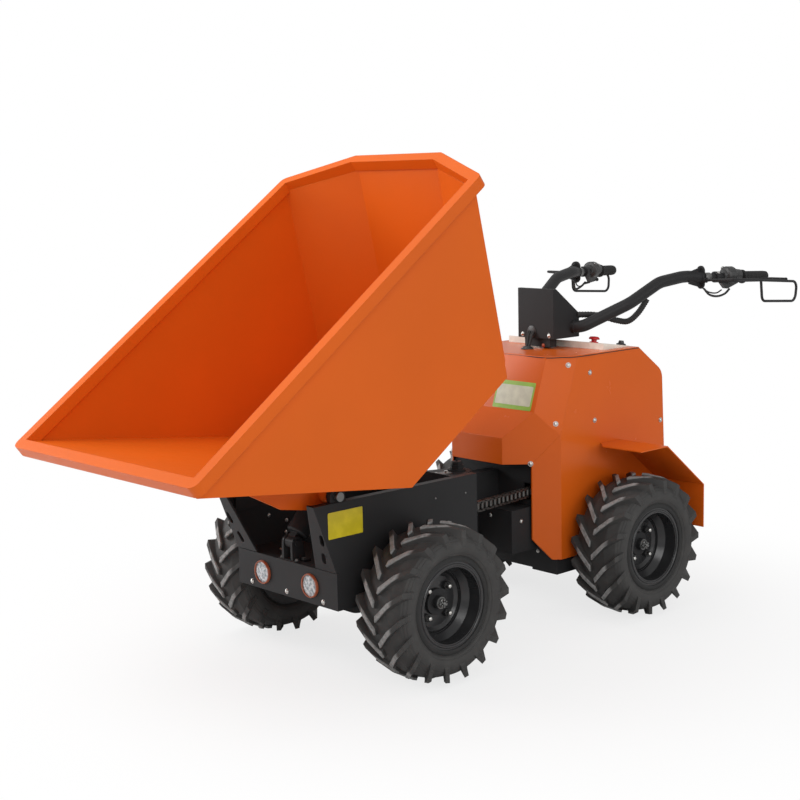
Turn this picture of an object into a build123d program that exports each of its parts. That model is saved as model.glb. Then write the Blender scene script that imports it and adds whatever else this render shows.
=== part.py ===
"""Articulated walk-behind site dumper: tipping skip, pivot-steered frame, four driven wheels.

Machine frame: +X forward (skip end), +Y to the machine's left, +Z up, ground at Z = 0.
While the pieces are made, X = 0 is the articulation pivot, midway between the axles. At the end
everything is moved along X so that the origin lies under the middle of the whole machine.
"""
import os
from math import atan2, cos, degrees, hypot, radians, sin, tan

from build123d import *

# ---------------------------------------------------------------- driving dimensions (mm, degrees)
WHEELBASE = 813.0
TRACK = 640.0

TYRE_R = 205.0                  # to the tips of the lugs
TYRE_WIDTH = 165.0
LUG_HEIGHT = 14.0
LUG_COUNT = 18                  # per side, the two sides half a pitch apart
LUG_WIDTH = 15.0
LUG_ROOT_WIDTH = 23.0
BEAD_R = 101.6                  # 8 inch rim
RIM_FLANGE_R = 119.0
RIM_WIDTH = 137.0
RIM_SHEET = 4.0
HUB_PCD = 100.0
HUB_STUDS = 4
WHEEL_BOLT_R = 6.0
WHEEL_BORE_R = 34.0
HUB_R = 66.0
HUB_FLANGE = 10.0
SPINDLE_R = 15.0
SPINDLE_LENGTH = 60.0
SPINDLE_FIT = 0.05              # radial running clearance

AXLE_TUBE_R = 30.0
DIFF_R = 88.0
DIFF_WIDTH = 120.0
MOTOR_R = 75.0
MOTOR_LENGTH = 178.0
SEAT_GAP = 0.3                  # between curved faces that only lie against each other

FRAME_HALF_WIDTH = 204.0        # outer faces of the black chassis side plates
FRAME_PLATE = 5.0
FRONT_PLATE_BOTTOM = 200.0
FRONT_PLATE_TOP = 476.0
FRONT_PLATE_BEHIND_AXLE = 280.0  # leaves room for the drive motor
FRONT_PLATE_REAR_X = WHEELBASE / 2 - FRONT_PLATE_BEHIND_AXLE
DECK_TOP = 291.0
DECK_REAR_X = 452.0
FRONT_FACE_X = 624.5            # front of the lamp plate
FRONT_LEAN_FOOT_Z = 294.0       # the front edge leans forward from here up
FRONT_LEAN = 21.0
FRONT_FLANGE_FOOT_HALF = 122.0  # inner edge of the leaning front flanges, at their foot
FRONT_FLANGE_TOP_HALF = 178.0   # and at the top of the side plates
TOP_FLANGE_WIDTH = 22.0
FLANGE_SLOT_LENGTH = 34.0
FLANGE_SLOT_WIDTH = 15.0

LAMP_PLATE_TOP = 295.0
LAMP_SPACING = 196.0
LAMP_Z = 247.0
LAMP_R = 26.0
LAMP_DEPTH = 34.0

PIVOT_PIN_R = 15.0
PIVOT_LUG_R = 42.0
PIVOT_LUG = 14.0
PIVOT_TOP_Z = 424.0             # underside of the upper front lug
PIVOT_BOTTOM_Z = 214.0          # underside of the lower front lug
PIVOT_LUG_GAP = 1.0

NOSE_HALF_WIDTH = 150.0
NOSE_TOP = 330.0
NOSE_BOTTOM = 205.0
NOSE_FRONT_X = -66.0

SKIP_PIVOT_X = 611.5
SKIP_PIVOT_Z = 490.0
SKIP_TIP_AT_REST = 36.1         # angle tipped forward from the travelling position
SKIP_SHEET = 3.0
SKIP_HALF_WIDTH = 372.0         # outer faces of the side walls
SKIP_FRONT = 348.0              # from the pivot to the front wall's inside, at the rim's top
SKIP_TOP = 437.0                # rim top above the pivot, travelling
SKIP_FRONT_SLOPE = 42.9         # front wall above level, travelling
SKIP_REAR_LEAN = 23.2           # rear walls from upright
SKIP_REAR = 709.0               # from the pivot back to the side walls' rear fold, at the top
SKIP_CHAMFER_X = 101.0          # the rear corners' chamfer
SKIP_CHAMFER_Y = 217.0
SKIP_SKIRT = 40.0               # side walls run on below the floor
RIM_TUBE = 30.0
RIM_OVERHANG = 19.0             # rim tube outside the side walls
RIM_CORNER_R = 22.0
SKIP_EAR_Y = 186.0              # inner faces of the frame's ears
SKIP_EAR_R = 24.0
SKIP_EAR_BOSS = 8.0             # boss on the inside of each ear
SKIP_BRACKET_GAP = 2.0
SKIP_BRACKET_Y = 140.0          # inner faces of the hinge brackets
SKIP_BRACKET = 10.0
SKIP_BRACKET_R = 30.0
SKIP_SHAFT_R = 12.0
SKIP_SHAFT_FIT = 0.06

ACT_FOOT_X = 602.0              # actuator's lower pin
ACT_FOOT_Z = 340.0
ACT_EYE_BACK = 300.0            # its upper pin, behind and below the skip's pivot, travelling
ACT_EYE_DROP = 48.0
ACT_EYE_R = 15.0
ACT_EYE_WIDTH = 26.0
ACT_PIN_R = 8.0
ACT_MOTOR_R = 31.0
ACT_MOTOR_START = 24.0          # along the actuator from its lower pin
ACT_TUBE_START = 94.0
ACT_TUBE_END = 272.0
ACT_TUBE_R = 25.0
ACT_ROD_START = 168.0
ACT_ROD_R = 12.0
ACT_CLEVIS_GAP = 0.8
ACT_CLEVIS_PLATE = 8.0
ACT_CLEVIS_R = 17.0
ACT_BASE_FLANGE = 16.0

TYRE_HOOD_GAP = 19.5            # between the rear tyres and the hood
HOOD_HALF_WIDTH = TRACK / 2 - TYRE_WIDTH / 2 - TYRE_HOOD_GAP
HOOD_SHEET = 3.0
HOOD_TOP = 756.0
HOOD_BOTTOM = 177.0
HOOD_LIP_X = -82.0              # lowest front edge of the front cover
HOOD_LIP_Z = 455.0
HOOD_LIP_TOP = 531.0
HOOD_FLARE_X = -146.5           # where the flared foot meets the raked front
HOOD_FLARE_Z = 603.0
HOOD_RAKE = 18.9                # raked front, from upright
HOOD_CHEEK = 18.5               # X + |Y| on the vertical cheek planes
HOOD_REAR_TOP_X = -546.5
HOOD_REAR_X = -660.0
HOOD_REAR_Z = 674.0
HOOD_REAR_FOOT_X = -684.0
HOOD_REAR_R = 45.0
HOOD_FRONT_POST_Y = 160.0       # half width of the opening below the front cover
HOOD_TOE_Z = 236.0              # the side panels' front toe is cut off below this
HOOD_TOE_X = -181.5

BELLY_FRONT_X = -194.0
BELLY_REAR_X = -640.0
BELLY_BOTTOM = 131.0
BELLY_TOP = 470.0
BELLY_INSET = 13.0              # of the black rear body, from the hood's outside
BELLY_HALF_WIDTH = HOOD_HALF_WIDTH - BELLY_INSET
BELLY_WALL_X = -150.0           # black wall behind the front cover's lip
BATTERY_SIZE = (280.0, 330.0, 230.0)
BATTERY_X = -430.0
BATTERY_Z = 306.0
BATTERY_RAIL = 20.0
BATTERY_RAIL_X = (-545.0, -315.0)

GUARD_AHEAD = 72.0              # mudguard, ahead of the rear axle
GUARD_BEND = 49.0               # its bend and its rear wall, behind the axle
GUARD_BEHIND = 224.0
GUARD_FRONT_X = -WHEELBASE / 2 + GUARD_AHEAD
GUARD_BEND_X = -WHEELBASE / 2 - GUARD_BEND
GUARD_REAR_X = -WHEELBASE / 2 - GUARD_BEHIND
GUARD_TOP = 492.0
GUARD_SLOPE_Z = 354.0
GUARD_FOOT_Z = 225.0
GUARD_HALF_WIDTH = 396.0
GUARD_SHEET = 3.0
GUARD_CORNER = 40.0

STEER_X = -393.5                # handlebar column
COLUMN_FRONT = 55.0             # bracket's front face ahead of the column
COLUMN_HALF_WIDTH = 70.0
COLUMN_BOTTOM = 786.0
COLUMN_TOP = 933.0
COLUMN_REAR = 59.0
COLUMN_REAR_TOP = 856.0
COLUMN_SHEET = 4.0
NECK_HALF_WIDTH = 50.0
NECK_FRONT = 48.0
NECK_DEPTH = 28.0
NECK_GAP = 5.0
COLUMN_SHAFT_R = 17.0
COLUMN_FIT = 0.08
BEARING_R = 23.0
BEARING_FLANGE_R = 25.5
BEARING_LENGTH = 70.0

PANEL_FRONT_X = -421.0
PANEL_REAR_X = -541.0
PANEL_INSET = 28.0              # from the hood's outside
PANEL_HALF_WIDTH = HOOD_HALF_WIDTH - PANEL_INSET
PANEL_HEIGHT = 19.0             # at its front edge
PANEL_LIP = 2.0                 # at its rear edge
STOP_KNOB = (-475.0, 108.0)
KEY_KNOB = (-525.0, PANEL_HALF_WIDTH - 20.0)

ARM_R = 18.0
GRIP_TUBE_R = 11.0
GRIP_R = 16.0
# left arm's centre line: X, Y, Z, bend radius
ARM_PATH = [
    (-394.0, 0.0, 818.0, 0.0),
    (-440.0, 90.0, 816.0, 60.0),
    (-560.0, 176.0, 882.0, 110.0),
    (-665.0, 203.0, 938.0, 90.0),
    (-762.0, 222.0, 951.0, 120.0),
    (-812.0, 249.0, 946.0, 0.0),
]
HANDLE_END = (-1065.0, 305.0, 936.0)
END_PLATE_HEIGHT = 70.0
END_PLATE_WIDTH = 32.0
END_PLATE = 5.0
GUSSET_LENGTH = 45.0
GRIP_LENGTH = 98.0
LEVER_CLAMP_AT = 50.0           # distances along the handle tube, from the end plate
LEVER_CLAMP = 18.0
SWITCH_POD_AT = 82.0
SWITCH_POD_RISE = 5.0           # the round housing's centre above the tube
# switch housing: distance along the tube, radius
SWITCH_POD = [(0.0, 15.0), (8.0, 17.0), (11.0, 24.5), (15.0, 27.0), (37.0, 27.0), (42.0, 24.5), (46.0, 20.0),
              (70.0, 17.5)]
# keel below the housing: distance along the tube, depth below its centre
POD_KEEL = [(-8.0, 8.0), (64.0, 8.0), (60.0, 19.0), (18.0, 36.0), (10.0, 35.0), (-6.0, 19.0)]
POD_KEEL_WIDTH = 14.0
# brake lever's centre line: X, Y, Z, bend radius
LEVER_PATH = [
    (-872.0, 272.0, 930.0, 0.0),
    (-878.0, 310.0, 932.0, 10.0),
    (-1040.0, 342.0, 931.0, 60.0),
    (-1095.0, 362.0, 927.0, 0.0),
]
LEVER_BLADE = (9.0, 5.0)        # depth and thickness
# thumb lever of the right handle, given on the left: X, Y, Z, bend radius
THUMB_PATH = [(-902.0, 270.0, 906.0, 0.0), (-906.0, 298.0, 900.0, 9.0), (-985.0, 306.0, 909.0, 0.0)]
THUMB_R = 3.5
GUARD_ROD_R = 4.0
# hand guard's centre line: X, Y, Z, bend radius
GUARD_PATH = [
    (-807.0, 268.0, 938.0, 0.0),
    (-807.0, 376.0, 944.0, 16.0),
    (-1134.0, 376.0, 918.0, 22.0),
    (-1128.0, 374.0, 857.0, 22.0),
    (-944.0, 377.0, 870.0, 18.0),
    (-938.5, 376.0, 932.0, 0.0),
]

CHAIN_ANCHOR_REACH = 20.5       # of the anchor's fork, behind the front frame's cross plate
CHAIN_ANCHOR_X = FRONT_PLATE_REAR_X - CHAIN_ANCHOR_REACH
CHAIN_ANCHOR_Y = 168.0
CHAIN_ENTRY_X = -153.0
CHAIN_ENTRY_Y = 140.0
CHAIN_Z = 372.0
CHAIN_PITCH = 19.05
CHAIN_ROLLER_R = 6.0
CHAIN_PIN_LENGTH = 30.0
CHAIN_PLATE_H = 16.0
CHAIN_PLATE = 2.4
CHAIN_LINKS = 17

MIRROR = {"left": 1.0, "right": -1.0}
AXLE_X = {"front": WHEELBASE / 2, "rear": -WHEELBASE / 2}
AXLE_Z = TYRE_R
FRAME_INNER = FRAME_HALF_WIDTH - FRAME_PLATE


# ---------------------------------------------------------------- small helpers
def side_profile(points, y_low, y_high):
    """Solid between two Y planes from an outline of (x, z) points."""
    outline = Polyline(*[(x, y_low, z) for x, z in points], close=True)
    return extrude(make_face(outline), amount=y_high - y_low, dir=(0, 1, 0))


def plan_profile(points, z_low, z_high):
    """Solid between two heights from an outline of (x, y) points."""
    outline = Polyline(*[(x, y, z_low) for x, y in points], close=True)
    return extrude(make_face(outline), amount=z_high - z_low, dir=(0, 0, 1))


def front_profile(points, x_low, x_high):
    """Solid between two X planes from an outline of (y, z) points."""
    outline = Polyline(*[(x_low, y, z) for y, z in points], close=True)
    return extrude(make_face(outline), amount=x_high - x_low, dir=(1, 0, 0))


def block(x_low, x_high, y_low, y_high, z_low, z_high):
    """Box between six planes."""
    middle = ((x_low + x_high) / 2, (y_low + y_high) / 2, (z_low + z_high) / 2)
    return Pos(*middle) * Box(x_high - x_low, y_high - y_low, z_high - z_low)


def rod_y(x, z, radius, y_low, y_high):
    """Cylinder along Y."""
    return Pos(x, (y_low + y_high) / 2, z) * Rot(90, 0, 0) * Cylinder(radius, y_high - y_low)


def rod_z(x, y, radius, z_low, z_high):
    """Cylinder along Z."""
    return Pos(x, y, (z_low + z_high) / 2) * Cylinder(radius, z_high - z_low)


def rod_x(y, z, radius, x_low, x_high):
    """Cylinder along X."""
    return Pos((x_low + x_high) / 2, y, z) * Rot(0, 90, 0) * Cylinder(radius, x_high - x_low)


def mirrored(solid):
    """The same piece on the other side of the machine."""
    return mirror(solid, about=Plane.XZ)


def both_sides(solid):
    """A piece and its mirror image, as one body."""
    return solid + mirrored(solid)


def placed_on_side(solid, side):
    """A left-hand piece, mirrored for the right."""
    return solid if side == "left" else mirrored(solid)


# ---------------------------------------------------------------- wheels
def tyre_section():
    """Half outline of the carcass (r, y) without lugs, from bead to crown centre."""
    half = TYRE_WIDTH / 2
    base_r = TYRE_R - LUG_HEIGHT
    return half, base_r


def tyre_carcass():
    """Carcass revolved about Y, centred on the wheel's mid plane."""
    half, base_r = tyre_section()
    bead_half = RIM_WIDTH / 2 - RIM_SHEET
    bead_low = BEAD_R + SEAT_GAP
    crown = (base_r, 0.0)
    shoulder = (base_r - 14.0, half - 16.0)
    belly = ((base_r + BEAD_R) / 2 + 4.0, half - 3.0)
    bead = (RIM_FLANGE_R + 2.0, bead_half - 2.0)
    with BuildSketch(Plane.XY) as section:
        with BuildLine():
            Polyline((bead_low, 0), (bead_low, bead_half - SEAT_GAP),
                     (RIM_FLANGE_R - 8.0, bead_half - SEAT_GAP), bead)
            ThreePointArc(bead, belly, shoulder)
            Polyline(shoulder, (base_r - 3.0, half * 0.45), crown)
            Line(crown, (bead_low, 0))
        make_face()
    half_tyre = revolve(section.sketch, axis=Axis.Y)
    inner_r = base_r - 16.0
    cavity = [(bead_low - 1.0, 0), (bead_low - 1.0, bead_half - 16.0), (RIM_FLANGE_R, half - 22.0),
              (inner_r - 14.0, half - 22.0), (inner_r, half * 0.45), (inner_r, 0)]
    hollow = revolve(make_face(Polyline(*cavity, close=True)), axis=Axis.Y)
    half_tyre -= hollow
    return half_tyre + mirror(half_tyre, about=Plane.XZ)


def lug_station(radius_low, radius_high, y, angle, width_low, width_high, normal_y):
    """Four corners of a lug's cross-section at one place on the tread.

    The section lies across the lug: from radius_low up to radius_high, tilted towards the
    sidewall by normal_y for each millimetre of height.
    """
    corners = []
    for radius, width, sign in ((radius_low, width_low, -1), (radius_low, width_low, 1),
                                (radius_high, width_high, 1), (radius_high, width_high, -1)):
        turn = radians(angle) + sign * width / 2 / radius
        y_here = y + normal_y * (radius - radius_low)
        corners.append((radius * sin(turn), y_here, radius * cos(turn)))
    return corners


def tread_lug():
    """One lug of the left row: from near the crown's centre out over the shoulder."""
    half, base_r = tyre_section()
    tip = TYRE_R
    sections = [
        lug_station(base_r - 7.0, tip, 4.0, 11.0, LUG_ROOT_WIDTH, LUG_WIDTH, 0.0),
        lug_station(base_r - 12.0, tip - 3.0, half * 0.5, 0.0, LUG_ROOT_WIDTH, LUG_WIDTH, 0.0),
        lug_station(base_r - 26.0, tip - 12.0, half - 14.0, -9.5, LUG_ROOT_WIDTH, LUG_WIDTH, 0.42),
        lug_station(base_r - 50.0, base_r - 34.0, half - 9.0, -12.5, LUG_ROOT_WIDTH, LUG_WIDTH, 0.5),
    ]
    faces = [make_face(Polyline(*corners, close=True)) for corners in sections]
    return loft(faces, ruled=True)


def make_tyre():
    """Tyre with two staggered rows of lugs, about the Y axis."""
    lug = tread_lug()
    pitch = 360.0 / LUG_COUNT
    rows = []
    for index in range(LUG_COUNT):
        rows.append(Rot(0, index * pitch, 0) * lug)
        rows.append(Rot(0, (index + 0.5) * pitch, 0) * mirrored(lug))
    return tyre_carcass().fuse(*rows).solids()[0]


def make_rim():
    """Pressed wheel: stepped barrel and an inset disc, open side at +Y."""
    half = RIM_WIDTH / 2
    well_r = BEAD_R - 14.0
    outer = [(BEAD_R - RIM_SHEET, -half), (RIM_FLANGE_R, -half), (RIM_FLANGE_R, -half + RIM_SHEET),
             (BEAD_R, -half + RIM_SHEET), (BEAD_R, -half + 26.0), (well_r, -half + 34.0), (well_r, 14.0),
             (BEAD_R, 30.0), (BEAD_R, half - RIM_SHEET), (RIM_FLANGE_R, half - RIM_SHEET),
             (RIM_FLANGE_R, half), (BEAD_R - RIM_SHEET, half), (BEAD_R - RIM_SHEET, 32.0),
             (well_r - RIM_SHEET, 15.0), (well_r - RIM_SHEET, -half + 32.0),
             (BEAD_R - RIM_SHEET, -half + 24.0)]
    barrel = revolve(make_face(Polyline(*outer, close=True)), axis=Axis.Y)
    disc_out = well_r - RIM_SHEET + 1.0
    disc = [(WHEEL_BORE_R, 2.0), (WHEEL_BORE_R, 2.0 + RIM_SHEET), (66.0, 2.0 + RIM_SHEET),
            (74.0, 9.0 + RIM_SHEET), (disc_out, 4.0 + RIM_SHEET), (disc_out, 4.0), (75.0, 9.0), (67.0, 2.0)]
    plate = revolve(make_face(Polyline(*disc, close=True)), axis=Axis.Y)
    for hole in PolarLocations(HUB_PCD / 2, HUB_STUDS, start_angle=45):
        spot = hole.position
        plate -= rod_y(spot.X, spot.Y, WHEEL_BOLT_R + 1.0, -5.0, 20.0)
    return barrel + plate


def make_hub():
    """Hub flange, studs and nuts, splined centre and spindle, about Y with +Y outboard."""
    face = 2.0
    hub = rod_y(0, 0, HUB_R, face - HUB_FLANGE, face)
    hub += rod_y(0, 0, WHEEL_BORE_R - SEAT_GAP, face, face + 12.0)
    hub += rod_y(0, 0, 17.0, face + 12.0, face + 26.0)
    for hole in PolarLocations(HUB_PCD / 2, HUB_STUDS, start_angle=45):
        spot = hole.position
        hub += rod_y(spot.X, spot.Y, WHEEL_BOLT_R, face, face + 22.0)
        nut = extrude(Plane.XZ * RegularPolygon(11.0, 6), amount=-9.0)
        hub += Pos(spot.X, face + RIM_SHEET, spot.Y) * nut
    hub += rod_y(0, 0, SPINDLE_R, face - HUB_FLANGE - SPINDLE_LENGTH, face - HUB_FLANGE)
    return hub


# ---------------------------------------------------------------- axles
def make_axle(end):
    """Axle beam with its central gear case and a hub seat at each end."""
    x = AXLE_X[end]
    seat_y = TRACK / 2 + 2.0 - HUB_FLANGE - 1.0
    beam = rod_y(x, AXLE_Z, AXLE_TUBE_R, -seat_y, seat_y)
    case = rod_y(x, AXLE_Z, DIFF_R, -DIFF_WIDTH / 2, DIFF_WIDTH / 2)
    case = chamfer(case.edges().filter_by(GeomType.CIRCLE), 20.0)
    axle = beam + case
    for side in MIRROR.values():
        axle += rod_y(x, AXLE_Z, AXLE_TUBE_R + 22.0, *sorted((side * (seat_y - 14.0), side * seat_y)))
        axle -= rod_y(x, AXLE_Z, SPINDLE_R + SPINDLE_FIT,
                      *sorted((side * (seat_y - SPINDLE_LENGTH - 4.0), side * (seat_y + 1.0))))
    return axle


def make_drive_motor(end):
    """Electric drive motor bolted to the gear case, lying along the machine."""
    x = AXLE_X[end]
    toward = -1.0 if end == "front" else 1.0
    start = DIFF_R + SEAT_GAP
    near = x + toward * start
    far = x + toward * (start + MOTOR_LENGTH)
    low, high = sorted((near, far))
    body = rod_x(0, AXLE_Z + 18.0, MOTOR_R, low, high)
    body = chamfer(body.edges().filter_by(GeomType.CIRCLE), 6.0)
    return body


# ---------------------------------------------------------------- front frame
def front_edge_x(z):
    """X of the leaning front edge at a height."""
    return FRONT_FACE_X + max(0.0, z - FRONT_LEAN_FOOT_Z) * tan(radians(FRONT_LEAN))


def front_side_plate():
    """Left side plate of the front frame with its top flange and slotted front flange."""
    outline = [
        (FRONT_PLATE_REAR_X, FRONT_PLATE_BOTTOM), (FRONT_FACE_X - FRAME_PLATE, FRONT_PLATE_BOTTOM),
        (FRONT_FACE_X - FRAME_PLATE, LAMP_PLATE_TOP + 2.0),
        (front_edge_x(LAMP_PLATE_TOP + 2.0), LAMP_PLATE_TOP + 2.0),
        (front_edge_x(FRONT_PLATE_TOP), FRONT_PLATE_TOP), (FRONT_PLATE_REAR_X, FRONT_PLATE_TOP),
    ]
    plate = side_profile(outline, FRAME_INNER, FRAME_HALF_WIDTH)
    plate += block(FRONT_PLATE_REAR_X, front_edge_x(FRONT_PLATE_TOP) - FRAME_PLATE,
                   FRAME_HALF_WIDTH - TOP_FLANGE_WIDTH, FRAME_INNER, FRONT_PLATE_TOP - FRAME_PLATE,
                   FRONT_PLATE_TOP)
    notch = rod_y(AXLE_X["front"], AXLE_Z, AXLE_TUBE_R + SEAT_GAP, FRAME_INNER - 1, FRAME_HALF_WIDTH + 1)
    slot = block(AXLE_X["front"] - AXLE_TUBE_R - SEAT_GAP, AXLE_X["front"] + AXLE_TUBE_R + SEAT_GAP,
                 FRAME_INNER - 1, FRAME_HALF_WIDTH + 1, FRONT_PLATE_BOTTOM - 1, AXLE_Z)
    return plate - notch - slot + front_flange()


def front_flange():
    """Leaning flange along the left side plate's front edge, with two oblong slots."""
    lean = radians(FRONT_LEAN)
    foot = LAMP_PLATE_TOP + 2.0
    height = (FRONT_PLATE_TOP - foot) / cos(lean)
    plane = Plane(origin=(front_edge_x(foot), 0, foot), x_dir=(0, 1, 0), z_dir=(cos(lean), 0, -sin(lean)))
    outline = Polyline((FRONT_FLANGE_FOOT_HALF, 0), (FRAME_INNER, 0), (FRAME_INNER, height),
                       (FRONT_FLANGE_TOP_HALF, height), close=True)
    flange = extrude(plane * make_face(outline), amount=-FRAME_PLATE)
    for along in (38.0, 94.0):
        middle = FRONT_FLANGE_FOOT_HALF + 38.0 + along * 0.33
        hole = plane * Pos(middle, along) * SlotOverall(FLANGE_SLOT_LENGTH, FLANGE_SLOT_WIDTH, rotation=73)
        flange -= extrude(hole, amount=-FRAME_PLATE)
    return flange


def front_lug(z_low):
    """One plate of the articulation fork, from the rear cross plate back round the pivot."""
    reach = FRONT_PLATE_REAR_X
    tongue = plan_profile([(0, -PIVOT_LUG_R), (0, PIVOT_LUG_R), (reach, 90.0), (reach, -90.0)],
                          z_low, z_low + PIVOT_LUG)
    tongue += rod_z(0, 0, PIVOT_LUG_R, z_low, z_low + PIVOT_LUG)
    return tongue - rod_z(0, 0, PIVOT_PIN_R + SPINDLE_FIT, z_low - 1, z_low + PIVOT_LUG + 1)


def skip_ear():
    """Left ear that carries the skip's hinge shaft, on the inside of the side plate."""
    outline = [(SKIP_PIVOT_X - 44.0, 400.0), (SKIP_PIVOT_X + 30.0, 400.0),
               (SKIP_PIVOT_X + SKIP_EAR_R, SKIP_PIVOT_Z), (SKIP_PIVOT_X - SKIP_EAR_R, SKIP_PIVOT_Z)]
    ear = side_profile(outline, SKIP_EAR_Y, FRAME_INNER)
    ear += rod_y(SKIP_PIVOT_X, SKIP_PIVOT_Z, SKIP_EAR_R, SKIP_EAR_Y, FRAME_INNER)
    ear += rod_y(SKIP_PIVOT_X, SKIP_PIVOT_Z, SKIP_EAR_R - 5.0, SKIP_EAR_Y - SKIP_EAR_BOSS, SKIP_EAR_Y)
    return ear


def make_front_frame():
    """Welded front frame: side plates, cross plates, articulation fork and skip ears."""
    frame = both_sides(front_side_plate() + skip_ear())
    rear_x = FRONT_PLATE_REAR_X
    frame += block(rear_x, rear_x + FRAME_PLATE, -FRAME_INNER, FRAME_INNER, FRONT_PLATE_BOTTOM,
                   FRONT_PLATE_TOP - 20.0)
    frame += front_lug(PIVOT_TOP_Z)
    frame += front_lug(PIVOT_BOTTOM_Z)
    frame += block(520.0, FRONT_FACE_X - FRAME_PLATE, -FRAME_INNER, FRAME_INNER, FRONT_PLATE_BOTTOM,
                   FRONT_PLATE_BOTTOM + FRAME_PLATE)
    frame += block(DECK_REAR_X, FRONT_FACE_X - FRAME_PLATE, -FRAME_INNER, FRAME_INNER,
                   DECK_TOP - FRAME_PLATE, DECK_TOP)
    frame += both_sides(foot_clevis())
    frame -= rod_y(SKIP_PIVOT_X, SKIP_PIVOT_Z, SKIP_SHAFT_R, -FRAME_HALF_WIDTH - 1, FRAME_HALF_WIDTH + 1)
    frame += both_sides(chain_anchor())
    return frame


def foot_clevis():
    """Left plate of the actuator's lower clevis with its base, standing on the deck."""
    inner = ACT_EYE_WIDTH / 2 + ACT_CLEVIS_GAP
    outer = inner + ACT_CLEVIS_PLATE
    base_top = DECK_TOP + 6.0
    front = FRONT_FACE_X - FRAME_PLATE
    outline = [(ACT_FOOT_X - 26.0, base_top - 1.0), (front, base_top - 1.0), (front, ACT_FOOT_Z - 10.0),
               (ACT_FOOT_X + ACT_CLEVIS_R, ACT_FOOT_Z), (ACT_FOOT_X - ACT_CLEVIS_R, ACT_FOOT_Z)]
    plate = side_profile(outline, inner, outer) + rod_y(ACT_FOOT_X, ACT_FOOT_Z, ACT_CLEVIS_R, inner, outer)
    plate -= rod_y(ACT_FOOT_X, ACT_FOOT_Z, ACT_PIN_R + SPINDLE_FIT, inner - 1, outer + 1)
    return plate + block(ACT_FOOT_X - 30.0, front, 0, outer + ACT_BASE_FLANGE, DECK_TOP, base_top)


def chain_anchor():
    """Fork on the rear cross plate that holds the left chain's first pin."""
    x_plate = FRONT_PLATE_REAR_X
    half_gap = CHAIN_PIN_LENGTH / 2 + 0.5
    fork = None
    for z_low in (CHAIN_Z - half_gap - 6.0, CHAIN_Z + half_gap):
        leaf = block(CHAIN_ANCHOR_X, x_plate, CHAIN_ANCHOR_Y - 12.0, CHAIN_ANCHOR_Y + 12.0,
                     z_low, z_low + 6.0)
        leaf += rod_z(CHAIN_ANCHOR_X, CHAIN_ANCHOR_Y, 12.0, z_low, z_low + 6.0)
        fork = leaf if fork is None else fork + leaf
    return fork


def make_lamp_plate():
    """Front plate with its return flange and the two lamp holes."""
    x_face = FRONT_FACE_X
    plate = block(x_face - FRAME_PLATE, x_face, -FRAME_HALF_WIDTH, FRAME_HALF_WIDTH, FRONT_PLATE_BOTTOM,
                  LAMP_PLATE_TOP)
    clevis_half = ACT_EYE_WIDTH / 2 + ACT_CLEVIS_GAP + ACT_CLEVIS_PLATE + ACT_BASE_FLANGE + 1.0
    flange = block(x_face - 24.0, x_face - FRAME_PLATE, clevis_half, FRAME_INNER - 1,
                   DECK_TOP, LAMP_PLATE_TOP)
    plate += both_sides(flange)
    for y in (-LAMP_SPACING / 2, LAMP_SPACING / 2):
        plate -= rod_x(y, LAMP_Z, LAMP_R, x_face - 40.0, x_face + 1)
    return plate


def make_lamp(side):
    """Round recessed work lamp: cup, lens and rim in one body."""
    y = MIRROR[side] * LAMP_SPACING / 2
    outline = [(0, -LAMP_DEPTH), (LAMP_R * 0.5, -LAMP_DEPTH), (LAMP_R - 1.0, -6.0),
               (LAMP_R - SEAT_GAP, -5.0), (LAMP_R - SEAT_GAP, 0.4), (LAMP_R + 3.0, 0.4),
               (LAMP_R + 3.0, 2.5), (LAMP_R - 2.0, 3.5), (0, 5.5)]
    cup = revolve(make_face(Polyline(*[(r, 0, z) for r, z in outline], close=True)), axis=Axis.Z)
    return Pos(FRONT_FACE_X, y, LAMP_Z) * Rot(0, 90, 0) * cup


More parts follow.
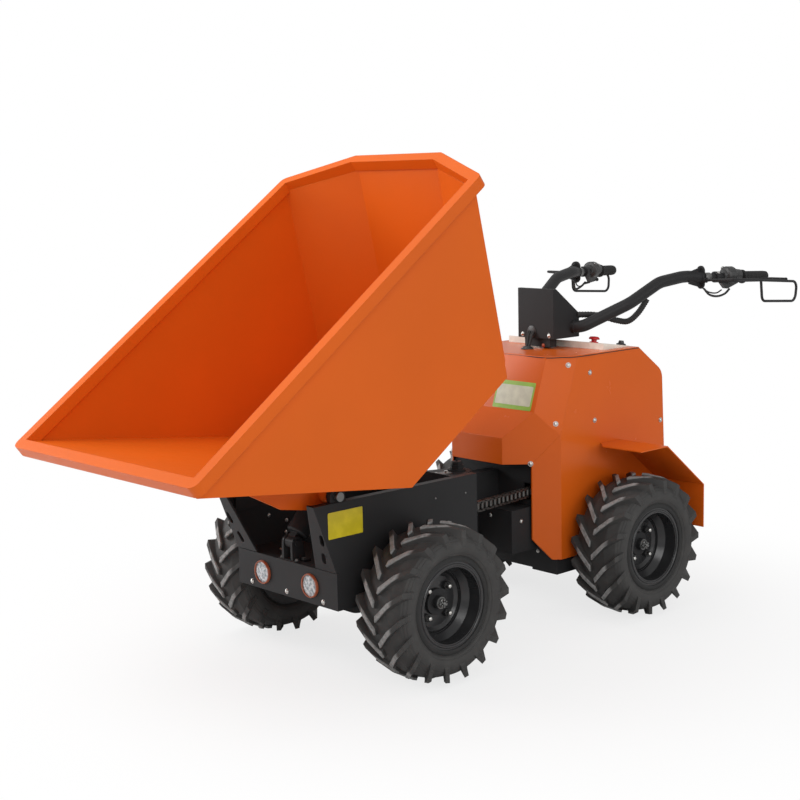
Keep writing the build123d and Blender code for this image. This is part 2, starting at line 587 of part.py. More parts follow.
# ---------------------------------------------------------------- rear frame
def make_rear_frame():
    """Black rear chassis: open-topped tray, front wall and the nose that carries the pivot."""
    t = FRAME_PLATE
    wide = BELLY_HALF_WIDTH
    tray = block(BELLY_REAR_X, BELLY_FRONT_X, -wide, wide, BELLY_BOTTOM, BELLY_TOP)
    tray -= block(BELLY_REAR_X + t, BELLY_FRONT_X - t, -wide + t, wide - t, BELLY_BOTTOM + t, BELLY_TOP + 1)
    axle_cut = rod_y(AXLE_X["rear"], AXLE_Z, AXLE_TUBE_R + SEAT_GAP, -wide - 1, wide + 1)
    below = block(AXLE_X["rear"] - AXLE_TUBE_R - SEAT_GAP, AXLE_X["rear"] + AXLE_TUBE_R + SEAT_GAP,
                  -wide - 1, wide + 1, BELLY_BOTTOM - 1, AXLE_Z)
    case_cut = block(AXLE_X["rear"] - 120.0, AXLE_X["rear"] + 300.0, -110.0, 110.0, BELLY_BOTTOM - 1,
                     BELLY_BOTTOM + t + 1)
    tray = tray - axle_cut - below - case_cut
    nose = block(BELLY_FRONT_X, NOSE_FRONT_X, -NOSE_HALF_WIDTH, NOSE_HALF_WIDTH, NOSE_BOTTOM, NOSE_TOP)
    nose -= block(BELLY_FRONT_X - 1, NOSE_FRONT_X - t, -NOSE_HALF_WIDTH + t, NOSE_HALF_WIDTH - t,
                  NOSE_BOTTOM + t, NOSE_TOP - t)
    wall_half = HOOD_FRONT_POST_Y - 2.0
    hoodwall = block(BELLY_FRONT_X, BELLY_WALL_X, -wall_half, wall_half, NOSE_TOP, BELLY_TOP)
    hoodwall -= block(BELLY_FRONT_X - 1, BELLY_WALL_X - t, -wall_half + t, wall_half - t, NOSE_TOP - 1,
                      BELLY_TOP + 1)
    frame = tray + nose + hoodwall
    for x in BATTERY_RAIL_X:
        frame += block(x - BATTERY_RAIL / 2, x + BATTERY_RAIL / 2, -wide + t, wide - t,
                       BATTERY_Z - BATTERY_RAIL, BATTERY_Z)
    for side in MIRROR.values():
        low, high = sorted((side * (CHAIN_ENTRY_Y - 15.0), side * (CHAIN_ENTRY_Y + 10.0)))
        frame -= block(BELLY_FRONT_X - 20.0, BELLY_WALL_X + 1, low - 6.0, high + 6.0, CHAIN_Z - 24.0,
                       CHAIN_Z + 24.0)
    upper = PIVOT_TOP_Z - PIVOT_LUG_GAP
    boss = rod_z(0, 0, PIVOT_LUG_R - 6.0, PIVOT_BOTTOM_Z + PIVOT_LUG + PIVOT_LUG_GAP, upper)
    boss += block(NOSE_FRONT_X - t, 0, -18.0, 18.0, PIVOT_BOTTOM_Z + PIVOT_LUG + PIVOT_LUG_GAP, upper)
    boss += block(BELLY_WALL_X - t, NOSE_FRONT_X, -18.0, 18.0, NOSE_TOP, upper)
    boss -= rod_z(0, 0, PIVOT_PIN_R + SPINDLE_FIT, PIVOT_BOTTOM_Z, PIVOT_TOP_Z)
    return frame + boss


def make_pivot_pin():
    """Articulation pin with its head and lower nut."""
    top = PIVOT_TOP_Z + PIVOT_LUG
    pin = rod_z(0, 0, PIVOT_PIN_R, PIVOT_BOTTOM_Z - 14.0, top)
    pin += rod_z(0, 0, 26.0, top, top + 5.0)
    pin += Pos(0, 0, top + 5.0) * extrude(RegularPolygon(20.0, 6), amount=12.0)
    pin += Pos(0, 0, PIVOT_BOTTOM_Z - 14.0) * extrude(RegularPolygon(22.0, 6), amount=13.7)
    return pin


def make_battery():
    """Battery pack, one plain block standing in the tray."""
    length, width, height = BATTERY_SIZE
    return block(BATTERY_X - length / 2, BATTERY_X + length / 2, -width / 2, width / 2, BATTERY_Z,
                 BATTERY_Z + height)


# ---------------------------------------------------------------- hood
def hood_rake_x(z):
    """X of the raked front at a height."""
    return HOOD_FLARE_X - (z - HOOD_FLARE_Z) * tan(radians(HOOD_RAKE))


def hood_form(inset):
    """Closed outer form of the hood with every face moved in by the sheet thickness."""
    top = HOOD_TOP - inset
    outline = [
        (HOOD_LIP_X - inset, HOOD_BOTTOM - 1.0 if inset else HOOD_BOTTOM),
        (HOOD_LIP_X - inset, HOOD_LIP_TOP),
        (HOOD_FLARE_X - inset, HOOD_FLARE_Z - inset * 0.4),
        (hood_rake_x(top) - inset, top),
        (HOOD_REAR_TOP_X, top),
        (HOOD_REAR_X + inset, HOOD_REAR_Z - inset * 0.5),
        (HOOD_REAR_FOOT_X + inset, HOOD_BOTTOM - 1.0 if inset else HOOD_BOTTOM),
    ]
    half = HOOD_HALF_WIDTH - inset
    form = side_profile(outline, -half, half)
    rear_edges = form.edges().filter_by(Axis.Y).group_by(Axis.X)[1]
    form = fillet(rear_edges, HOOD_REAR_R)
    cheek = HOOD_CHEEK - inset * 1.4142
    bend = Vector(HOOD_FLARE_X - inset, cheek - (HOOD_FLARE_X - inset), HOOD_FLARE_Z)
    for side in (1, -1):
        upright = Plane(origin=(bend.X, side * bend.Y, bend.Z), z_dir=(1, side, 0))
        form = split(form, bisect_by=upright, keep=Keep.BOTTOM)
    rake = radians(HOOD_RAKE)
    for side in (1, -1):
        along = Vector(-sin(rake), 0, cos(rake))
        down = Vector(-49.0, side * 48.0, -58.0)
        normal = along.cross(down) * (-side)
        leaning = Plane(origin=(bend.X, side * bend.Y, bend.Z), z_dir=normal)
        form = split(form, bisect_by=leaning, keep=Keep.BOTTOM)
    return form


def hood_shell():
    """Hood sheet all round, open underneath."""
    return hood_form(0.0) - hood_form(HOOD_SHEET)


def seam_cutter(side):
    """Region of the front cover on one side, from the side seam forward."""
    lean = tan(radians(HOOD_RAKE))
    seam_z = 539.0
    seam_x = HOOD_CHEEK - HOOD_HALF_WIDTH
    outline = [(seam_x - (HOOD_TOP + 5.0 - seam_z) * lean, HOOD_TOP + 5.0), (seam_x, seam_z),
               (-HOOD_FRONT_POST_Y + HOOD_CHEEK, HOOD_LIP_Z), (0.0, HOOD_LIP_Z), (0.0, HOOD_TOP + 5.0)]
    return side_profile(outline, *sorted((0.0, side * (HOOD_HALF_WIDTH + 5.0))))


def make_hood_panels():
    """Front cover, side panels, top and rear panels cut from one shell."""
    shell = hood_shell()
    far = 900.0
    top_zone = plan_profile([(-far, -far), (0, -far), (0, far), (-far, far)],
                            HOOD_TOP - HOOD_SHEET, HOOD_TOP + 1)
    top = shell & top_zone
    top -= rod_z(STEER_X, 0, BEARING_R + SEAT_GAP, HOOD_TOP - 10.0, HOOD_TOP + 10.0)
    rest = shell - top_zone
    front_zone = seam_cutter(1) + seam_cutter(-1)
    front = rest & front_zone
    rest = rest - front_zone
    inner_half = HOOD_HALF_WIDTH - HOOD_SHEET
    rear_zone = block(-far, HOOD_REAR_TOP_X - 1.0, -inner_half, inner_half, 0, HOOD_TOP)
    rear = rest & rear_zone
    sides = rest - rear_zone
    opening = block(-HOOD_FRONT_POST_Y + HOOD_CHEEK, 0, -far, far, 0, HOOD_LIP_Z)
    sides -= opening
    toe = side_profile([(0, 0), (0, HOOD_TOE_Z), (-HOOD_FRONT_POST_Y + HOOD_CHEEK, HOOD_TOE_Z),
                        (HOOD_TOE_X, HOOD_BOTTOM), (HOOD_TOE_X, 0)], -far, far)
    sides -= toe
    gap = AXLE_TUBE_R + SEAT_GAP
    sides -= rod_y(AXLE_X["rear"], AXLE_Z, gap, -far, far)
    sides -= block(AXLE_X["rear"] - gap, AXLE_X["rear"] + gap, -far, far, 0, AXLE_Z)
    left = sides & block(-far, 0, 0, far, 0, HOOD_TOP)
    right = sides & block(-far, 0, -far, 0, 0, HOOD_TOP)
    return {"hood_top": top, "hood_front": front, "hood_rear": rear, "hood_left": left, "hood_right": right}


def make_mudguard(side):
    """Folded mudguard: top, sloping and rear faces with a cut front corner."""
    s = GUARD_SHEET
    outline = [
        (GUARD_FRONT_X, GUARD_TOP), (GUARD_BEND_X, GUARD_TOP), (GUARD_REAR_X, GUARD_SLOPE_Z),
        (GUARD_REAR_X, GUARD_FOOT_Z), (GUARD_REAR_X + s, GUARD_FOOT_Z),
        (GUARD_REAR_X + s, GUARD_SLOPE_Z - 1.0),
        (GUARD_BEND_X + 1.0, GUARD_TOP - s), (GUARD_FRONT_X, GUARD_TOP - s),
    ]
    guard = side_profile(outline, HOOD_HALF_WIDTH, GUARD_HALF_WIDTH)
    tip_x = GUARD_FRONT_X + 1
    root_y = HOOD_HALF_WIDTH - 1
    corner = plan_profile([(tip_x, root_y), (tip_x, HOOD_HALF_WIDTH + GUARD_CORNER),
                           (GUARD_FRONT_X - GUARD_CORNER, root_y)], GUARD_TOP - 10, GUARD_TOP + 10)
    guard -= corner
    return placed_on_side(guard, side)


def panel_z(x):
    """Height of the control panel's sloping top."""
    share = (x - PANEL_REAR_X) / (PANEL_FRONT_X - PANEL_REAR_X)
    return HOOD_TOP + PANEL_LIP + share * (PANEL_HEIGHT - PANEL_LIP)


def make_dash():
    """Control panel on the hood's rear top, sloping down towards the operator."""
    outline = [(PANEL_FRONT_X, HOOD_TOP), (PANEL_FRONT_X, panel_z(PANEL_FRONT_X)),
               (PANEL_REAR_X, panel_z(PANEL_REAR_X)), (PANEL_REAR_X, HOOD_TOP)]
    panel = side_profile(outline, -PANEL_HALF_WIDTH, PANEL_HALF_WIDTH)
    return fillet(panel.edges().filter_by(Axis.Z), 6.0)


def panel_knob(spot, outline):
    """Turned knob standing square on the sloping panel, from an outline of (radius, height)."""
    x, y = spot
    slope = degrees(atan2(PANEL_HEIGHT - PANEL_LIP, PANEL_FRONT_X - PANEL_REAR_X))
    turned = revolve(make_face(Polyline(*[(r, 0, z) for r, z in outline], close=True)), axis=Axis.Z)
    return Pos(x, y, panel_z(x)) * Rot(0, -slope, 0) * turned


def make_switches():
    """Mushroom stop knob and key knob on the control panel."""
    stop = panel_knob(STOP_KNOB, [(0, 0), (13.0, 0), (13.0, 3.0), (8.0, 3.0), (8.0, 9.0), (16.0, 10.0),
                                  (16.0, 14.0), (12.0, 18.0), (0, 19.0)])
    key = panel_knob(KEY_KNOB, [(0, 0), (14.0, 0), (14.0, 4.0), (9.0, 5.0), (7.0, 13.0), (0, 13.5)])
    return [stop, key]


# ---------------------------------------------------------------- steering
def make_bearing():
    """Flanged bearing tube through the hood's top, which carries the column shaft."""
    tube = rod_z(STEER_X, 0, BEARING_R, HOOD_TOP - BEARING_LENGTH, HOOD_TOP + 3.0)
    tube += rod_z(STEER_X, 0, BEARING_FLANGE_R, HOOD_TOP, HOOD_TOP + 3.0)
    return tube - rod_z(STEER_X, 0, COLUMN_SHAFT_R + COLUMN_FIT,
                        HOOD_TOP - BEARING_LENGTH - 1, HOOD_TOP + 4.0)


def make_column_bracket():
    """Folded head bracket, neck box and column shaft."""
    x = STEER_X
    t = COLUMN_SHEET
    outline = [(x + COLUMN_FRONT, COLUMN_BOTTOM), (x + COLUMN_FRONT, COLUMN_TOP),
               (x + COLUMN_FRONT - 12.0, COLUMN_TOP), (x - COLUMN_REAR, COLUMN_REAR_TOP),
               (x - COLUMN_REAR, COLUMN_BOTTOM)]
    head = side_profile(outline, -COLUMN_HALF_WIDTH, COLUMN_HALF_WIDTH)
    inner = [(x + COLUMN_FRONT - t, COLUMN_BOTTOM + t), (x + COLUMN_FRONT - t, COLUMN_TOP + 1),
             (x - COLUMN_REAR - 1, COLUMN_REAR_TOP + 20), (x - COLUMN_REAR - 1, COLUMN_BOTTOM + t)]
    head -= side_profile(inner, -COLUMN_HALF_WIDTH + t, COLUMN_HALF_WIDTH - t)
    low = HOOD_TOP + NECK_GAP
    rear = x + NECK_FRONT - NECK_DEPTH
    neck = block(rear, x + NECK_FRONT, -NECK_HALF_WIDTH, NECK_HALF_WIDTH, low, COLUMN_BOTTOM)
    neck -= block(rear - 1, x + NECK_FRONT - t, -NECK_HALF_WIDTH + t, NECK_HALF_WIDTH - t, low - 1,
                  COLUMN_BOTTOM)
    shaft = rod_z(x, 0, COLUMN_SHAFT_R, HOOD_TOP - BEARING_LENGTH, COLUMN_BOTTOM + t)
    arms = both_sides(arm_tube(0.0, ARM_R + SEAT_GAP))
    return head + neck + shaft - arms


def arm_wire():
    """Centre line of the left arm: straight runs joined by tangent arcs."""
    points = [(x, y, z) for x, y, z, radius in ARM_PATH]
    radii = [radius for x, y, z, radius in ARM_PATH[1:-1]]
    return FilletPolyline(*points, radius=radii)


def arm_tube(start, radius):
    """Left arm as a solid round bar of the given radius."""
    path = arm_wire()
    section = Plane(path @ start, z_dir=path % start) * Circle(radius)
    return sweep(section, path=path)


def handle_axis():
    """Start and direction of the left handle tube, and its length."""
    start = Vector(*ARM_PATH[-1][:3])
    run = Vector(*HANDLE_END) - start
    return start, run.normalized(), run.length


def end_plate():
    """Upright plate across the left arm's end, with a gusset above and below the arm."""
    start, direction, _ = handle_axis()
    heading = Vector(direction.X, direction.Y, 0).normalized()
    face = Plane(start - heading * END_PLATE, x_dir=(heading.Y, -heading.X, 0), z_dir=heading)
    plate = extrude(face * SlotOverall(END_PLATE_HEIGHT, END_PLATE_WIDTH, rotation=90), amount=END_PLATE)
    side = Plane(start - heading * END_PLATE, x_dir=-heading, z_dir=(heading.Y, -heading.X, 0))
    half = END_PLATE_HEIGHT / 2 - 4.0
    web = make_face(Polyline((-1, -half), (-1, half), (GUSSET_LENGTH, ARM_R), (GUSSET_LENGTH, -ARM_R),
                             close=True))
    return plate + extrude(side * web, amount=END_PLATE / 2, both=True)


def make_handlebar():
    """Bent tube of both arms with their end plates and the thinner handle tubes."""
    start, direction, length = handle_axis()
    thin = extrude(Plane(start, z_dir=direction) * Circle(GRIP_TUBE_R), amount=length)
    return both_sides(arm_tube(0.0, ARM_R) + end_plate() + thin)


def grip_frame(distance):
    """Plane across the left handle tube at a distance behind the end plate."""
    start, direction, _ = handle_axis()
    return Plane(start + direction * distance, z_dir=direction)


def sleeve(distance, length, outer, inner):
    """Ring round the handle tube."""
    return extrude(grip_frame(distance) * (Circle(outer) - Circle(inner)), amount=length)


def make_grip(side):
    """Rubber grip with its inner flange."""
    _, _, total = handle_axis()
    inner = GRIP_TUBE_R + SEAT_GAP
    grip = sleeve(total - GRIP_LENGTH, GRIP_LENGTH, GRIP_R, inner)
    grip += sleeve(total - GRIP_LENGTH, 5.0, GRIP_R + 5.0, inner)
    return placed_on_side(grip, side)


def make_switch_pod(side):
    """Round switch housing clamped on the handle tube, with its keel below."""
    crest = [(radius, along) for along, radius in SWITCH_POD]
    section = make_face(Polyline((0, crest[0][1]), *crest, (0, crest[-1][1]), close=True))
    body = revolve(Plane.XZ * section, axis=Axis.Z)
    body = fillet(body.edges().filter_by(GeomType.CIRCLE).filter_by(lambda edge: edge.radius > 26.0), 3.0)
    keel = Polyline(*[(depth, along) for along, depth in POD_KEEL], close=True)
    keel = extrude(Plane.XZ * make_face(keel), amount=POD_KEEL_WIDTH / 2, both=True)
    frame = grip_frame(SWITCH_POD_AT)
    downward = Plane(frame.origin, x_dir=(Vector(0, 0, -1) + frame.z_dir * frame.z_dir.Z), z_dir=frame.z_dir)
    pod = downward * (Pos(-SWITCH_POD_RISE, 0, 0) * body + keel)
    bore = extrude(grip_frame(SWITCH_POD_AT - 20.0) * Circle(GRIP_TUBE_R + SEAT_GAP), amount=120.0)
    return placed_on_side(pod - bore, side)


def bent_rod(path, radius):
    """Round rod along a table of X, Y, Z and bend radius."""
    points = [(x, y, z) for x, y, z, bend in path]
    wire = FilletPolyline(*points, radius=[bend for x, y, z, bend in path[1:-1]])
    return sweep(Plane(wire @ 0, z_dir=wire % 0) * Circle(radius), path=wire)


def lever_blade():
    """Flat brake lever, wider than thick, narrowing to its tip."""
    depth, thickness = LEVER_BLADE
    points = [(x, y, z) for x, y, z, bend in LEVER_PATH]
    wire = FilletPolyline(*points, radius=[bend for x, y, z, bend in LEVER_PATH[1:-1]])
    root = Plane(wire @ 0, x_dir=(0, 0, 1), z_dir=wire % 0)
    blade = sweep(root * RectangleRounded(depth, thickness, thickness * 0.4), path=wire)
    return blade + Pos(wire @ 1) * Sphere(thickness)


def make_lever(side):
    """Brake lever hung from a clamp on the handle tube, with a thumb lever too on the right."""
    clamp = sleeve(LEVER_CLAMP_AT, LEVER_CLAMP, 17.0, GRIP_TUBE_R + SEAT_GAP)
    tube = extrude(grip_frame(LEVER_CLAMP_AT - 10.0) * Circle(GRIP_TUBE_R + SEAT_GAP), amount=60.0)
    lever = clamp + (lever_blade() - tube)
    if side == "left":
        return lever
    thumb = bent_rod(THUMB_PATH, THUMB_R) + Pos(*THUMB_PATH[-1][:3]) * Sphere(THUMB_R + 2.5)
    thumb = max((thumb - make_switch_pod("left")).solids(), key=lambda solid: solid.volume)
    return [mirrored(lever), mirrored(thumb)]


def make_guard(side):
    """Hand guard: round rod out from the end plate, back beside the grip and round below it."""
    x, y, z = GUARD_PATH[0][:3]
    seat_y = ARM_PATH[-1][1] + END_PLATE_WIDTH / 2 - 1.5
    root = rod_y(x, z, GUARD_ROD_R + 4.0, seat_y, y + 4.0) - end_plate() - arm_tube(0.0, ARM_R)
    return placed_on_side(root + bent_rod(GUARD_PATH, GUARD_ROD_R), side)


# ---------------------------------------------------------------- chains
def chain_plate(x_mid, z_mid, thickness):
    """Waisted link plate lying flat, one pitch long."""
    length = CHAIN_PITCH + CHAIN_PLATE_H - 3.0
    return block(x_mid - length / 2, x_mid + length / 2, -CHAIN_PLATE_H / 2, CHAIN_PLATE_H / 2,
                 z_mid - thickness / 2, z_mid + thickness / 2)


def make_chain(side):
    """Steering roller chain, pins upright, from the front frame's fork back into the rear body."""
    chain = None
    half = CHAIN_PIN_LENGTH / 2
    for index in range(CHAIN_LINKS + 1):
        x = -index * CHAIN_PITCH
        pin = rod_z(x, 0, 3.0, -half, half) + rod_z(x, 0, CHAIN_ROLLER_R, -half + 7.0, half - 7.0)
        chain = pin if chain is None else chain + pin
    for index in range(CHAIN_LINKS):
        x_mid = -(index + 0.5) * CHAIN_PITCH
        out = half - 2.0 if index % 2 else half - 5.0
        for z_mid in (-out, out):
            chain += chain_plate(x_mid, z_mid, CHAIN_PLATE)
    heading = degrees(atan2(CHAIN_ANCHOR_Y - CHAIN_ENTRY_Y, CHAIN_ANCHOR_X - CHAIN_ENTRY_X))
    chain = Pos(CHAIN_ANCHOR_X, CHAIN_ANCHOR_Y, CHAIN_Z) * Rot(0, 0, heading) * chain
    return placed_on_side(chain, side)


# ---------------------------------------------------------------- skip (made travelling, then tipped)
def skip_plan(z, grow):
    """Plan outline of the hopper's inside at a height above the pivot, grown by the sheet."""
    drop = SKIP_TOP - z
    front = SKIP_FRONT - drop / tan(radians(SKIP_FRONT_SLOPE)) + grow / sin(radians(SKIP_FRONT_SLOPE))
    rear = -SKIP_REAR + drop * tan(radians(SKIP_REAR_LEAN)) - grow / cos(radians(SKIP_REAR_LEAN))
    half = SKIP_HALF_WIDTH - SKIP_SHEET + grow
    back = rear - SKIP_CHAMFER_X
    back_half = SKIP_HALF_WIDTH - SKIP_CHAMFER_Y
    return [(front, -half), (front, half), (rear, half), (back, back_half), (back, -back_half),
            (rear, -half)]


def hopper_form(grow):
    """Inside of the hopper, or its outside when grown by the sheet."""
    low = -grow
    faces = []
    for z in (low, SKIP_TOP):
        outline = Polyline(*[(x, y, z) for x, y in skip_plan(z, grow)], close=True)
        faces.append(make_face(outline))
    return loft(faces, ruled=True)


def rim_ring():
    """Square rim tube round the hopper's mouth."""
    over = RIM_OVERHANG
    front = SKIP_FRONT + 25.0
    rear = -SKIP_REAR - 13.0
    half = SKIP_HALF_WIDTH + over
    back = rear - SKIP_CHAMFER_X
    back_half = SKIP_HALF_WIDTH - SKIP_CHAMFER_Y + 14.0
    outline = Polyline((front, -half), (front, half), (rear, half), (back, back_half), (back, -back_half),
                       (rear, -half), close=True)
    outer = fillet(make_face(outline).vertices(), RIM_CORNER_R)
    ring = outer - offset(outer, amount=-RIM_TUBE, kind=Kind.INTERSECTION)
    return Pos(0, 0, SKIP_TOP - RIM_TUBE) * extrude(ring, amount=RIM_TUBE)


def skip_skirt():
    """Left side wall in full, with its lower edge below the floor."""
    slope = radians(SKIP_FRONT_SLOPE)
    lean = tan(radians(SKIP_REAR_LEAN))
    front_top = SKIP_FRONT + 22.0
    knee_x = front_top - (SKIP_TOP - 35.0 + SKIP_SKIRT - 12.0) / tan(slope)
    outline = [(front_top, SKIP_TOP - RIM_TUBE), (front_top, SKIP_TOP - 35.0), (knee_x, -SKIP_SKIRT + 12.0),
               (-SKIP_REAR + (SKIP_TOP + SKIP_SKIRT) * lean, -SKIP_SKIRT),
               (-SKIP_REAR + RIM_TUBE * lean, SKIP_TOP - RIM_TUBE)]
    return side_profile(outline, SKIP_HALF_WIDTH - SKIP_SHEET, SKIP_HALF_WIDTH)


def make_skip_body():
    """Hopper in sheet: floor, sloping front, side, corner and rear walls."""
    shell = hopper_form(SKIP_SHEET) - hopper_form(0.0)
    top_cut = rim_ring()
    body = shell + both_sides(skip_skirt()) - top_cut
    return body


def wall_under_z(x):
    """Height of the front wall's underside above the pivot, travelling."""
    slope = radians(SKIP_FRONT_SLOPE)
    return SKIP_TOP - (SKIP_FRONT - x) * tan(slope) - SKIP_SHEET / cos(slope)


def skip_bracket():
    """Left hinge bracket: plate under the front wall with the hinge boss, lower edge along the wall."""
    low, high = SKIP_BRACKET_Y, SKIP_BRACKET_Y + SKIP_BRACKET
    outline = [(x, wall_under_z(x)) for x in (-112.0, 262.0)]
    outline += [(159.5, 143.3), (121.7, 66.2), (55.9, -2.5), (22.0, -SKIP_BRACKET_R + 8.0)]
    outline += [(-SKIP_BRACKET_R, 0.0)]
    boss_end = SKIP_EAR_Y - SKIP_EAR_BOSS - SKIP_BRACKET_GAP
    bracket = side_profile(outline, low, high) + rod_y(0, 0, SKIP_BRACKET_R, low, high)
    return bracket + rod_y(0, 0, SKIP_SHAFT_R + 8.0, high, boss_end)


def eye_clevis():
    """Left plate of the actuator's upper clevis, under the skip's floor, with its pin's head."""
    eye_x, eye_z = -ACT_EYE_BACK, -ACT_EYE_DROP
    inner = ACT_EYE_WIDTH / 2 + ACT_CLEVIS_GAP
    outer = inner + ACT_CLEVIS_PLATE
    outline = [(eye_x - 50.0, -SKIP_SHEET), (eye_x + 50.0, -SKIP_SHEET), (eye_x + ACT_CLEVIS_R, eye_z),
               (eye_x - ACT_CLEVIS_R, eye_z)]
    clevis = side_profile(outline, inner, outer) + rod_y(eye_x, eye_z, ACT_CLEVIS_R, inner, outer)
    return clevis + rod_y(eye_x, eye_z, ACT_PIN_R, outer, outer + 4.0)


def make_skip_brackets():
    """Hinge brackets, the cross channel between them and the actuator's upper clevis."""
    channel = side_profile([(-100.0, wall_under_z(-100.0)), (-50.0, wall_under_z(-50.0)), (-38.0, 34.0),
                            (-60.0, 12.0)], 0, SKIP_BRACKET_Y)
    brackets = both_sides(skip_bracket() + channel)
    brackets -= rod_y(0, 0, SKIP_SHAFT_R + SKIP_SHAFT_FIT, -FRAME_HALF_WIDTH, FRAME_HALF_WIDTH)
    return [brackets, eye_clevis(), mirrored(eye_clevis())]


def make_skip_shaft():
    """Hinge shaft across the front frame's ears."""
    return rod_y(SKIP_PIVOT_X, SKIP_PIVOT_Z, SKIP_SHAFT_R, -FRAME_HALF_WIDTH - 6.0, FRAME_HALF_WIDTH + 6.0)


def tipped(solid):
    """Moves a travelling skip piece to the pivot and tips it to its stored position."""
    return Pos(SKIP_PIVOT_X, 0, SKIP_PIVOT_Z) * Rot(0, SKIP_TIP_AT_REST, 0) * solid


# ---------------------------------------------------------------- actuator
def actuator_eye():
    """Upper pin's place (x, z) with the skip in its stored position."""
    tip = radians(SKIP_TIP_AT_REST)
    x, z = -ACT_EYE_BACK, -ACT_EYE_DROP
    return (SKIP_PIVOT_X + x * cos(tip) + z * sin(tip), SKIP_PIVOT_Z - x * sin(tip) + z * cos(tip))


def actuator_pose():
    """Location that takes +Z from the actuator's foot towards its eye."""
    eye_x, eye_z = actuator_eye()
    angle = degrees(atan2(eye_x - ACT_FOOT_X, eye_z - ACT_FOOT_Z))
    return Pos(ACT_FOOT_X, 0, ACT_FOOT_Z) * Rot(0, angle, 0)


def actuator_length():
    """Pin-to-pin length in the stored position."""
    eye_x, eye_z = actuator_eye()
    return hypot(eye_x - ACT_FOOT_X, eye_z - ACT_FOOT_Z)


def make_actuator_barrel():
    """Outer tube of the electric actuator with its end ring."""
    tube = rod_z(0, 0, ACT_TUBE_R, ACT_TUBE_START, ACT_TUBE_END)
    ring = rod_z(0, 0, ACT_TUBE_R + 3.0, ACT_TUBE_END - 14.0, ACT_TUBE_END)
    bore = rod_z(0, 0, ACT_ROD_R + SPINDLE_FIT, ACT_TUBE_START + 3.0, ACT_TUBE_END + 1)
    return actuator_pose() * (tube + ring - bore)


def make_actuator_motor():
    """Actuator's in-line motor and gear housing with the foot eye and its pin."""
    half = ACT_EYE_WIDTH / 2
    pin_end = half + ACT_CLEVIS_GAP + ACT_CLEVIS_PLATE + 3.0
    eye = rod_y(0, 0, ACT_EYE_R, -half, half) + block(-12.0, 12.0, -half, half, 0, ACT_MOTOR_START + 1)
    pin = rod_y(0, 0, ACT_PIN_R, -pin_end, pin_end)
    housing = rod_z(0, 0, ACT_MOTOR_R, ACT_MOTOR_START, ACT_TUBE_START)
    housing = chamfer(housing.edges().filter_by(GeomType.CIRCLE), 4.0)
    return actuator_pose() * (eye + pin + housing)


def make_actuator_rod():
    """Inner rod with its eye."""
    length = actuator_length()
    half = ACT_EYE_WIDTH / 2
    rod = rod_z(0, 0, ACT_ROD_R, ACT_ROD_START, length - 8.0)
    return actuator_pose() * (rod + rod_y(0, length, ACT_EYE_R, -half, half))


# ---------------------------------------------------------------- assembly
def build_nodes():
    """All nodes by name, about the articulation pivot."""
    nodes = {
        "front_frame": make_front_frame(),
        "lamp_plate": make_lamp_plate(),
        "front_axle": make_axle("front"),
        "front_drive_motor": make_drive_motor("front"),
        "rear_frame": make_rear_frame(),
        "pivot_pin": make_pivot_pin(),
        "battery_pack": make_battery(),
        "rear_axle": make_axle("rear"),
        "control_panel": make_dash(),
        "panel_switches": make_switches(),
        "column_bearing": make_bearing(),
        "column_bracket": make_column_bracket(),
        "handlebar": make_handlebar(),
        "skip_body": tipped(make_skip_body()),
        "skip_rim": tipped(rim_ring()),
        "skip_brackets": [tipped(piece) for piece in make_skip_brackets()],
        "skip_shaft": make_skip_shaft(),
        "actuator_barrel": make_actuator_barrel(),
        "actuator_motor": make_actuator_motor(),
        "actuator_rod": make_actuator_rod(),
    }
    nodes.update(make_hood_panels())
    pairs = {"lamps": make_lamp, "mudguards": make_mudguard, "grips": make_grip,
             "switch_pods": make_switch_pod, "brake_levers": make_lever, "hand_guards": make_guard}
    for name, maker in pairs.items():
        nodes[name] = [maker(side) for side in MIRROR]
    for side in MIRROR:
        nodes[f"chain_{side}"] = make_chain(side)
    tyre, rim, hub = make_tyre(), make_rim(), make_hub()
    for end, x in AXLE_X.items():
        for side, sign in MIRROR.items():
            spot = Pos(x, sign * TRACK / 2, AXLE_Z)
            nodes[f"tyre_{end}_{side}"] = spot * placed_on_side(tyre, side)
            nodes[f"rim_{end}_{side}"] = spot * placed_on_side(rim, side)
            nodes[f"hub_{end}_{side}"] = spot * placed_on_side(hub, side)
    return nodes


def solids_of(piece):
    """Flat list of the solids in a piece, which may be a list of pieces."""
    found = []
    for item in piece if isinstance(piece, list) else [piece]:
        found.extend(solids_of(item) if isinstance(item, list) else item.solids())
    return found


def machine_shift(nodes):
    """Distance along X that puts the origin under the middle of the machine."""
    boxes = [solid.bounding_box() for solids in nodes.values() for solid in solids]
    return -(min(box.min.X for box in boxes) + max(box.max.X for box in boxes)) / 2


def export_all():
    """Writes one STEP file for each node."""
    os.makedirs("parts", exist_ok=True)
    nodes = {name: solids_of(piece) for name, piece in build_nodes().items()}
    shift = machine_shift(nodes)
    for name, solids in nodes.items():
        moved = [Pos(shift, 0, 0) * solid for solid in solids]
        export_step(moved[0] if len(moved) == 1 else Compound(moved), f"parts/{name}.step")
    print(f"shift {shift:.3f}, nodes {len(nodes)}")


if __name__ == "__main__":
    export_all()
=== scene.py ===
"""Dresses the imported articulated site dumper: finishes, fasteners, trim, light and camera.

Sub-assemblies are in millimetres from the articulation pivot on the ground: X towards the skip, Y to
the machine's left, Z up. ``Datum`` turns them into the frame's metres. Finishes and lamps are in metres.
"""

from __future__ import annotations

import logging
import math
from dataclasses import dataclass, field
from enum import Enum
from typing import Any, Sequence

import bmesh
import bpy
from mathutils import Matrix, Vector

